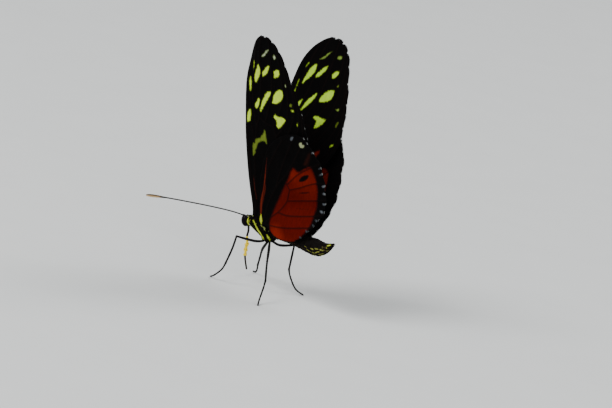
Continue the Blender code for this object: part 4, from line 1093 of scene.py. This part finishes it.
def wing_fringe(name, hind, sign, grid, seed):
    # Short scales that stand out all along the outer margin, white in its notches.
    rng = random.Random(seed)
    loop, outer = grid[3:]
    surface = wing_surface(hind, sign)
    notches = [Vector(n) for n in margin_notches(loop, hind)]
    hairs = []

    def on_wing(p, lift):
        place = Vector(surface(np.array([p.x]), np.array([p.y]))[0]) + WING_N * lift
        return Vector((place.x, -place.y, place.z)) if sign > 0 else place

    for a, b, on_margin in zip(loop, loop[1:] + loop[:1], outer):
        if not on_margin:
            continue
        along = (b - a).normalized()
        out = Vector((along.y, -along.x))
        if out.dot(a - WING_CENTRE) < 0.0:
            out = -out
        pieces = max(1, round((b - a).length / FRINGE_STEP))
        for k in range(pieces):
            p = a.lerp(b, (k + rng.random()) / pieces)
            near = min((p - n).length for n in notches)
            white = float(near < 0.26 + rng.uniform(-0.06, 0.06))
            length = rng.uniform(0.12, 0.24) * (1.2 if white else 1.0)
            # Painted shade dims the white scales; those of the left wings take the underside's
            # dimmer tone.
            white *= float(painted_fleck_shade(p.x, hind, sign < 0))
            q = p + (out + along * rng.uniform(-0.25, 0.25)) * length
            start = on_wing(p, rng.uniform(-0.05, 0.05))
            way = on_wing(q, rng.uniform(-0.08, 0.08)) - start
            spot = (0.05 + p.x / 56.0, 0.35 + p.y / 40.0)
            hairs.append((start, way, way.length, rng.uniform(0.022, 0.038), Vector(), white,
                          rng.random(), spot))
    return hair_mesh(name, hairs, "fringe")


# Body

def solid(verts, faces):
    bm = bmesh.new()
    made = [bm.verts.new(v) for v in verts]
    for face in faces:
        bm.faces.new([made[i] for i in face])
    bmesh.ops.recalc_face_normals(bm, faces=bm.faces[:])
    return bm


def loft(sections, power=2.0, tail=0.3):
    # Closed body through sections of station, height of centre, half height and half width.
    sides = 48
    verts = []
    for x, zc, hh, hw in sections:
        for k in range(sides):
            a = 2.0 * math.pi * k / sides
            c, s = math.cos(a), math.sin(a)
            y = hw * math.copysign(abs(c) ** (2.0 / power), c)
            z = hh * math.copysign(abs(s) ** (2.0 / power), s)
            verts.append((x, y, zc + z))
    verts.append((sections[0][0] - 0.3, 0.0, sections[0][1]))
    verts.append((sections[-1][0] + tail, 0.0, sections[-1][1] + tail * 0.3))
    return solid(verts, closed_faces(len(sections), sides))


def ellipsoid(centre, radii):
    bm = bmesh.new()
    bmesh.ops.create_uvsphere(bm, u_segments=24, v_segments=14, radius=1.0)
    for v in bm.verts:
        v.co = Vector(centre) + Vector((v.co.x * radii[0], v.co.y * radii[1], v.co.z * radii[2]))
    return bm


def abdomen_profile():
    # Fine rings with a shallow overlap step at every segment joint.
    stations = [s[0] for s in ABDOMEN_SECTIONS]
    ratios = [s[3] / s[2] for s in ABDOMEN_SECTIONS]
    fine = curve_array([s[:3] for s in ABDOMEN_SECTIONS], 0.12)
    out = []
    for x in np.linspace(stations[0], stations[-1], 150):
        zc, hh = (float(np.interp(x, fine[:, 0], fine[:, k])) for k in (1, 2))
        hw = hh * float(np.interp(x, stations, ratios))
        since = min([x - j for j in SEGMENT_JOINTS if j <= x] or [FAR])
        until = min([j - x for j in SEGMENT_JOINTS if j > x] or [FAR])
        swell = 0.07 * math.exp(-(until / 0.5) ** 2) - 0.08 * math.exp(-(since / 0.28) ** 2)
        out.append((x, zc, hh + swell, hw + swell))
    return out


def build_skin():
    # Head, neck, thorax, coxae, wing roots, abdomen and palps fused into one surface.
    pieces = [loft(THORAX_SECTIONS, 2.15), loft(abdomen_profile(), tail=0.4)]
    pieces.extend(ellipsoid(*ball) for ball in BODY_BALLS)
    pieces.append(solid(*tube_arrays(*NECK, 16)))
    for s in (-1.0, 1.0):
        for (x, y, z), radii in PAIRED_BALLS:
            pieces.append(ellipsoid((x, y * s, z), radii))
        for path, widths in WING_ROOTS:
            pieces.append(solid(*tube_arrays([(x, y * s, z) for x, y, z in path], widths, 16)))
        path = curve([(x, -y * s, z) for x, y, z in PALP_PATH], 0.12)
        widths = [0.19 + 0.06 * math.sin(math.pi * k / len(path)) - 0.09 * k / len(path)
                  for k in range(len(path))]
        pieces.append(solid(*tube_arrays(path, widths, 12)))
    whole = bmesh.new()
    for bm in pieces:
        mesh = bpy.data.meshes.new("piece")
        bm.to_mesh(mesh)
        bm.free()
        whole.from_mesh(mesh)
        bpy.data.meshes.remove(mesh)
    mesh = bpy.data.meshes.new("skin_draft")
    whole.to_mesh(mesh)
    whole.free()
    obj = added("skin_draft", mesh)
    remesh = obj.modifiers.new("fuse", "REMESH")
    remesh.mode = "VOXEL"
    remesh.voxel_size = VOXEL
    relax = obj.modifiers.new("relax", "SMOOTH")
    relax.factor = 0.5
    relax.iterations = 4
    graph = bpy.context.evaluated_depsgraph_get()
    result = bpy.data.meshes.new_from_object(obj.evaluated_get(graph))
    bpy.data.objects.remove(obj)
    verts = np.zeros(len(result.vertices) * 3, np.float32)
    result.vertices.foreach_get("co", verts)
    faces = [tuple(p.vertices) for p in result.polygons]
    bpy.data.meshes.remove(result)
    return verts.reshape(-1, 3).astype(float), faces


def body_marks(points, lines):
    # Signed distances in millimetres to each kind of marking.
    half = points.copy()
    half[:, 1] = np.abs(half[:, 1])
    x, y, z = half[:, 0], half[:, 1], half[:, 2]
    values = {kind: lines_distance(half, lines[kind]) for kind in BODY_LINES}
    # Yellow crescent of scales behind each eye, pointed at both ends
    up = z + 1.8
    taper = 0.2 * np.sqrt(np.clip(1.0 - (up / 1.15) ** 2, 0.0, 1.0))
    crescent = np.maximum(np.abs(x + 2.48 + 0.28 * up + 0.1 * up ** 2) - taper, 0.6 - y)
    crescent = np.maximum(crescent, np.abs(up) - 1.12)
    patch = lines_distance(points, lines["patch"])
    values["stripe"] = np.minimum(np.minimum(values["stripe"], patch), crescent)
    return values


def build_body():
    verts, faces = build_skin()
    tree = BVHTree.FromPolygons([Vector(v) for v in verts], faces)
    # The lines of the body's markings are moved onto the skin.
    lines = {
        kind: [np.array([(*tree.find_nearest(Vector(row[:3]))[0], row[3])
                         for row in curve_array(line, 0.2)]) for line in group]
        for kind, group in {**BODY_LINES, "patch": [PATCH_LINE]}.items()
    }
    obj = make("body_skin", verts, faces, "body", body_marks(verts, lines))
    placed(obj, "body_fur", "head", "thorax", "abdomen", "palp_left", "palp_right")
    body_hair(verts, faces, lines)
    return tree


def scatter(rng, vectors, faces, areas, total):
    # Random places on the faces, each with the face's normal.
    out = []
    for c in rng.choices(range(len(faces)), cum_weights=list(np.cumsum(areas)), k=total):
        f = faces[c]
        s, t = rng.random(), rng.random()
        if s + t > 1.0:
            s, t = 1.0 - s, 1.0 - t
        k = 1 + rng.randrange(len(f) - 2)
        a, b, d = vectors[f[0]], vectors[f[k]], vectors[f[k + 1]]
        out.append((a + (b - a) * s + (d - a) * t, (b - a).cross(d - a).normalized()))
    return out


def body_hair(verts, faces, lines):
    rng = random.Random(7)
    vectors = [Vector(v) for v in verts]
    stations = np.array([np.mean(verts[list(f), 0]) for f in faces])
    areas = np.array([
        ((vectors[f[1]] - vectors[f[0]]).cross(vectors[f[2]] - vectors[f[0]])).length for f in faces
    ])
    region = np.searchsorted(HAIR_LIMITS, stations, side="right")
    for key, (name, density, heading, lengths, widths, lift) in enumerate(BODY_HAIR):
        ids = np.nonzero(region == key)[0]
        total = int(areas[ids].sum() * density * HAIR_SHARE)
        found = scatter(rng, vectors, [faces[i] for i in ids], areas[ids], total)
        marks = body_marks(np.array([tuple(root) for root, _ in found]), lines)
        light = np.min([marks["stripe"], marks["orange"], marks["pale"]], axis=0)
        hairs = []
        for (root, normal), mark, dim in zip(found, light, marks["khaki"]):
            flow = Vector(heading)
            if key == HEAD:
                # The eyes stay bare, and the hair of the face points down and forward.
                beside = math.hypot((root.x + 3.68) / 1.15, (root.z + 1.98) / 1.4) < 1.0
                if beside and abs(root.y) > 0.6:
                    continue
                if root.x <= -4.4:
                    flow = Vector((-0.5, 0.0, -0.5))
            length = rng.uniform(*lengths)
            if key == THORAX:
                length *= 1.3 if root.z > -0.9 else 1.0
                length *= 0.45 if normal.z < -0.1 else 1.0
            width = rng.uniform(*widths)
            flow = (flow - normal * flow.dot(normal)).normalized()
            jitter = Vector((rng.gauss(0, 0.16), rng.gauss(0, 0.16), rng.gauss(0, 0.16)))
            way = flow * (1.0 - lift * 0.6) + normal * lift + jitter
            edge = rng.gauss(0.0, 0.05)
            faint = rng.choice((0.12, 0.35, 0.6)) if dim + edge < 0.0 else 0.0
            tint = 1.0 if mark + edge < 0.0 else faint
            around = math.atan2(root.z + 1.9, root.y) / (2.0 * math.pi) + 0.5
            spot = (0.02 + (root.x + 6.0) / 32.0 * 0.95, 0.02 + around * 0.95)
            hairs.append((root, way, length, width, flow * 0.5 - normal * 0.2, tint,
                          rng.random(), spot))
        placed(hair_mesh(name, hairs, "hair"), "body_fur")


def build_eye(sign):
    verts = []
    rows, sides = 26, 44
    for j in range(rows + 1):
        a = math.pi * j / rows
        for k in range(sides):
            b = 2.0 * math.pi * k / sides
            x = EYE_CENTRE[0] + EYE_RADII[0] * math.sin(a) * math.cos(b)
            z = EYE_CENTRE[2] + EYE_RADII[2] * math.sin(a) * math.sin(b)
            y = EYE_CENTRE[1] + EYE_RADII[1] * math.cos(a)
            x -= EYE_LEAN * (z - EYE_CENTRE[2])
            verts.append((x, sign * max(y, EYE_INNER), z))
    faces = ring_faces(rows + 1, sides)
    if sign > 0:
        faces = [face[::-1] for face in faces]
    obj = make("compound_eye_" + side_name(sign), verts, faces, "eye")
    bm = bmesh.new()
    bm.from_mesh(obj.data)
    bmesh.ops.remove_doubles(bm, verts=bm.verts[:], dist=1e-7)
    bmesh.ops.recalc_face_normals(bm, faces=bm.faces[:])
    bm.to_mesh(obj.data)
    bm.free()
    obj.data.polygons.foreach_set("use_smooth", np.ones(len(obj.data.polygons), bool))
    placed(obj, "eye", "eye_" + side_name(sign))


def build_antenna(sign):
    path = curve(ANTENNA_LEFT_PATH if sign < 0 else ANTENNA_RIGHT_PATH, 0.09)
    widths = []
    tint = []
    for i in range(len(path)):
        t = i / (len(path) - 1)
        club = smooth((t - 0.79) / 0.14) * (1.0 - 0.62 * smooth((t - 0.95) / 0.05))
        ring = 0.012 * (1.0 if i % 5 < 3 else 0.0)
        base = 0.16 * math.exp(-((t - 0.03) / 0.016) ** 2)
        widths.append(0.15 + base + 0.19 * club + ring)
        tint.append(smooth((t - 0.84) / 0.05))
    verts, faces = tube_arrays(path, widths, LIMB_SIDES)
    # The underside of the club is pale.
    values = []
    for i in range(len(path)):
        for v in verts[i * LIMB_SIDES:(i + 1) * LIMB_SIDES]:
            values.append(tint[i] * (1.0 if v.z < path[i].z + 0.03 else 0.12))
    values.extend([0.0, tint[-1]])
    obj = make("feeler_" + side_name(sign), verts, faces, "feeler", {"tint": values})
    placed(obj, "feeler", "antenna_" + side_name(sign))


def add_spine(verts, faces, root, way, length, width):
    way = way.normalized()
    rings = ((root - way * 0.05, width), (root + way * length * 0.5, width * 0.6))
    add_spike(verts, faces, way, rings, root + way * length, 4)


def leg_width(t):
    # Half width of a leg at stage t: 0 to 1 the thigh, to 2 the shank, to 3 the foot.
    if t <= 1.0:
        r = 0.24 + 0.09 * math.sin(math.pi * min(t / 0.95, 1.0))
    elif t <= 2.0:
        r = 0.22 + 0.035 * math.sin(math.pi * (t - 1.0)) + 0.03 * smooth((t - 1.85) / 0.15)
    else:
        r = 0.2 + 0.028 * math.sin(math.pi * ((t - 2.0) * 5.0 % 1.0)) - 0.03 * (t - 2.0)
    knee, ankle = (math.exp(-((t - s) / 0.05) ** 2) for s in (1.0, 2.0))
    return r + (0.05 * knee + 0.03 * ankle)


def build_leg(name, segments):
    rng = random.Random(len(name) * 13 + int(abs(segments[0][0][0]) * 10))
    spans = []
    stage = []
    for s, line in enumerate(segments):
        rows = curve(line, 0.11)[1 if s else 0:]
        spans.extend(rows)
        stage.extend(s + (k + 1) / len(rows) for k in range(len(rows)))
    knee, ankle = (next(k for k, t in enumerate(stage) if t >= s - 1e-6) for s in (1.0, 2.0))
    widths = [leg_width(t) for t in stage]
    verts, faces = tube_arrays(spans, widths, LIMB_SIDES)
    # Spines along the shank and foot, spurs at the ankle and claws at the tip
    for k in range(knee, len(spans) - 4, 3):
        way = (spans[k + 1] - spans[k]).normalized()
        turn = Matrix.Rotation(rng.uniform(0, 2 * math.pi), 3, way)
        out = turn @ way.orthogonal().normalized()
        add_spine(verts, faces, spans[k] + out * widths[k] * 0.8, out * 0.5 + way, 0.2, 0.02)
    way = (spans[ankle] - spans[ankle - 3]).normalized()
    side = way.orthogonal().normalized()
    for s in (-1.0, 1.0):
        add_spine(verts, faces, spans[ankle] + side * s * 0.12, way + side * s * 0.35, 0.62, 0.035)
    way = (spans[-1] - spans[-4]).normalized()
    side = way.cross(UP).normalized()
    for s in (-1.0, 1.0):
        hook = way + side * s * 0.4 + Vector((0.0, 0.0, -0.1))
        add_spine(verts, faces, spans[-1] + side * s * 0.05, hook, 0.3, 0.04)
    for v in verts:
        v.z = max(v.z, FLOOR + 0.005)
    obj = make(name, verts, faces, "leg", {"tint": [0.0] * len(verts)})
    placed(obj, "leg", "femur_" + name, "tibia_" + name, "tarsus_" + name)


def build_foreleg(sign, tree):
    # The small folded foreleg lies along the chest.
    sides = 16
    path = []
    for p in curve([(x, -y * sign, z) for x, y, z in FORELEG_PATH], 0.15):
        hit, normal, _, _ = tree.find_nearest(p)
        path.append(hit + normal * 0.12)
    widths = [0.17 - 0.05 * k / len(path) for k in range(len(path))]
    verts, faces = tube_arrays(path, widths, sides)
    # A pale line runs along its outer side.
    outer = Vector((0.1, 0.82 * sign, -0.56)).normalized()
    values = []
    for i, p in enumerate(path):
        for v in verts[i * sides:(i + 1) * sides]:
            values.append(smooth(((v - p).normalized().dot(outer) - 0.72) / 0.16))
    values.extend([0.0, 0.0])
    obj = make("folded_foreleg_" + side_name(sign), verts, faces, "leg", {"tint": values})
    placed(obj, "leg", "foreleg_" + side_name(sign))


def dusty(z):
    # 1 over the stretch of the tongue that carries dust, 0 elsewhere.
    return smooth((-5.4 - z) / 0.5) * smooth((z + 10.4) / 0.5)


def build_tongue():
    rng = random.Random(3)
    path = curve(PROBOSCIS_PATH, 0.07)
    verts = []
    faces = []
    dust = []
    for s in (-1.0, 1.0):
        line = [Vector((p.x, 0.105 * s, p.z)) for p in path]
        widths = []
        for i, p in enumerate(line):
            rib = 0.012 if i % 3 == 0 else 0.0
            widths.append(0.19 - 0.06 * i / len(line) + rib + 0.05 * dusty(p.z) * rng.random())
            dust.extend([dusty(p.z)] * LIMB_SIDES)
        dust.extend([0.0, 0.0])
        more, shapes = tube_arrays(line, widths, LIMB_SIDES, len(verts))
        verts.extend(more)
        faces.extend(shapes)
    # Grains of yellow dust clinging to the middle stretch
    for _ in range(DUST_GRAINS):
        p = path[rng.randrange(len(path))]
        if dusty(p.z) < 0.5:
            continue
        angle = rng.uniform(0, 2 * math.pi)
        low = smooth((-6.5 - p.z) / 0.8)
        clump = (0.5 + 0.5 * math.sin(p.z * 4.2 + 0.8)) * low
        reach = 0.17 + 0.17 * low + 0.1 * clump
        centre = p + Vector((math.cos(angle) * reach, math.sin(angle) * reach, 0.0))
        size = rng.uniform(0.05, 0.09) + 0.05 * clump
        ball = bmesh.new()
        bmesh.ops.create_icosphere(ball, subdivisions=2, radius=size)
        faces.extend(tuple(len(verts) + v.index for v in f.verts) for f in ball.faces)
        dust.extend([1.0] * len(ball.verts))
        verts.extend(centre + v.co for v in ball.verts)
        ball.free()
    obj = make("tongue", verts, faces, "tongue", {"dust": dust})
    placed(obj, "tongue", "proboscis")


# Stage

def build_stage():
    bm = bmesh.new()
    corners = ((-1.0, -1.0), (1.0, -1.0), (1.0, 1.0), (-1.0, 1.0))
    bm.faces.new([bm.verts.new((x * FLOOR_HALF, y * FLOOR_HALF, 0.0)) for x, y in corners])
    mesh = bpy.data.meshes.new("floor")
    bm.to_mesh(mesh)
    bm.free()
    mesh.materials.append(MATERIALS["floor"])
    floor = added("floor", mesh)
    studio = bpy.data.worlds.new("studio")
    studio.use_nodes = True
    back = studio.node_tree.nodes["Background"]
    back.inputs["Color"].default_value = SKY_COLOUR
    back.inputs["Strength"].default_value = SKY_STRENGTH
    bpy.context.scene.world = studio
    target = world(LIGHT_TARGET)
    for name, place, size, power in LIGHTS:
        light = bpy.data.lights.new(name, "AREA")
        light.energy = power
        light.size = size
        obj = added(name, light)
        obj.location = place
        obj.rotation_euler = (target - Vector(place)).to_track_quat("-Z", "Y").to_euler()


def build_camera():
    # Behind the left side, a little above, rolled as the photograph is.
    azimuth, elevation, roll = (math.radians(angle) for angle in CAMERA_ANGLES)
    back = Vector((
        math.sin(azimuth) * math.cos(elevation),
        -math.cos(azimuth) * math.cos(elevation),
        math.sin(elevation),
    ))
    level = Vector((math.cos(azimuth), math.sin(azimuth), 0.0))
    upright = back.cross(level)
    right = level * math.cos(roll) + upright * math.sin(roll)
    up = upright * math.cos(roll) - level * math.sin(roll)
    aside = (PHOTO_SIZE[0] / 2 - ORIGIN_PIXEL[0]) / PIXELS_PER_MM
    above = (ORIGIN_PIXEL[1] - PHOTO_SIZE[1] / 2) / PIXELS_PER_MM
    cam = bpy.data.cameras.new("camera")
    cam.sensor_width = 36.0
    cam.lens = cam.sensor_width * PIXELS_PER_MM * CAMERA_DISTANCE / PHOTO_SIZE[0]
    cam.clip_start = 0.05
    cam.clip_end = 50.0
    obj = added("camera", cam)
    place = world(right * aside + up * above + back * CAMERA_DISTANCE)
    turn = Matrix((right, up, back)).transposed().to_4x4()
    obj.matrix_world = Matrix.Translation(place) @ turn
    bpy.context.scene.camera = obj


build_camera()
build_stage()

fore_grid = wing_grid(FOREWING_OUTLINE, FOREWING_SCALLOPED, FOREWING_VEINS)
hind_grid = wing_grid(HINDWING_OUTLINE, HINDWING_SCALLOPED, HINDWING_VEINS, mark_rings())
wings = (("fore", False, fore_grid, 11), ("hind", True, hind_grid, 12))
for sign in (-1.0, 1.0):
    side = side_name(sign)
    for part, hind, grid, _ in wings:
        placed(build_wing(part + "_wing_" + side, hind, sign, grid),
               part + "wing_scales", part + "wing_" + side)
    for part, hind, grid, seed in wings:
        placed(wing_fringe(part + "_fringe_" + side, hind, sign, grid, seed), part + "wing_scales")
    build_eye(sign)
    build_antenna(sign)

skin_tree = build_body()
for sign in (-1.0, 1.0):
    build_foreleg(sign, skin_tree)
for name, segments in LEGS.items():
    build_leg(name, segments)
build_tongue()
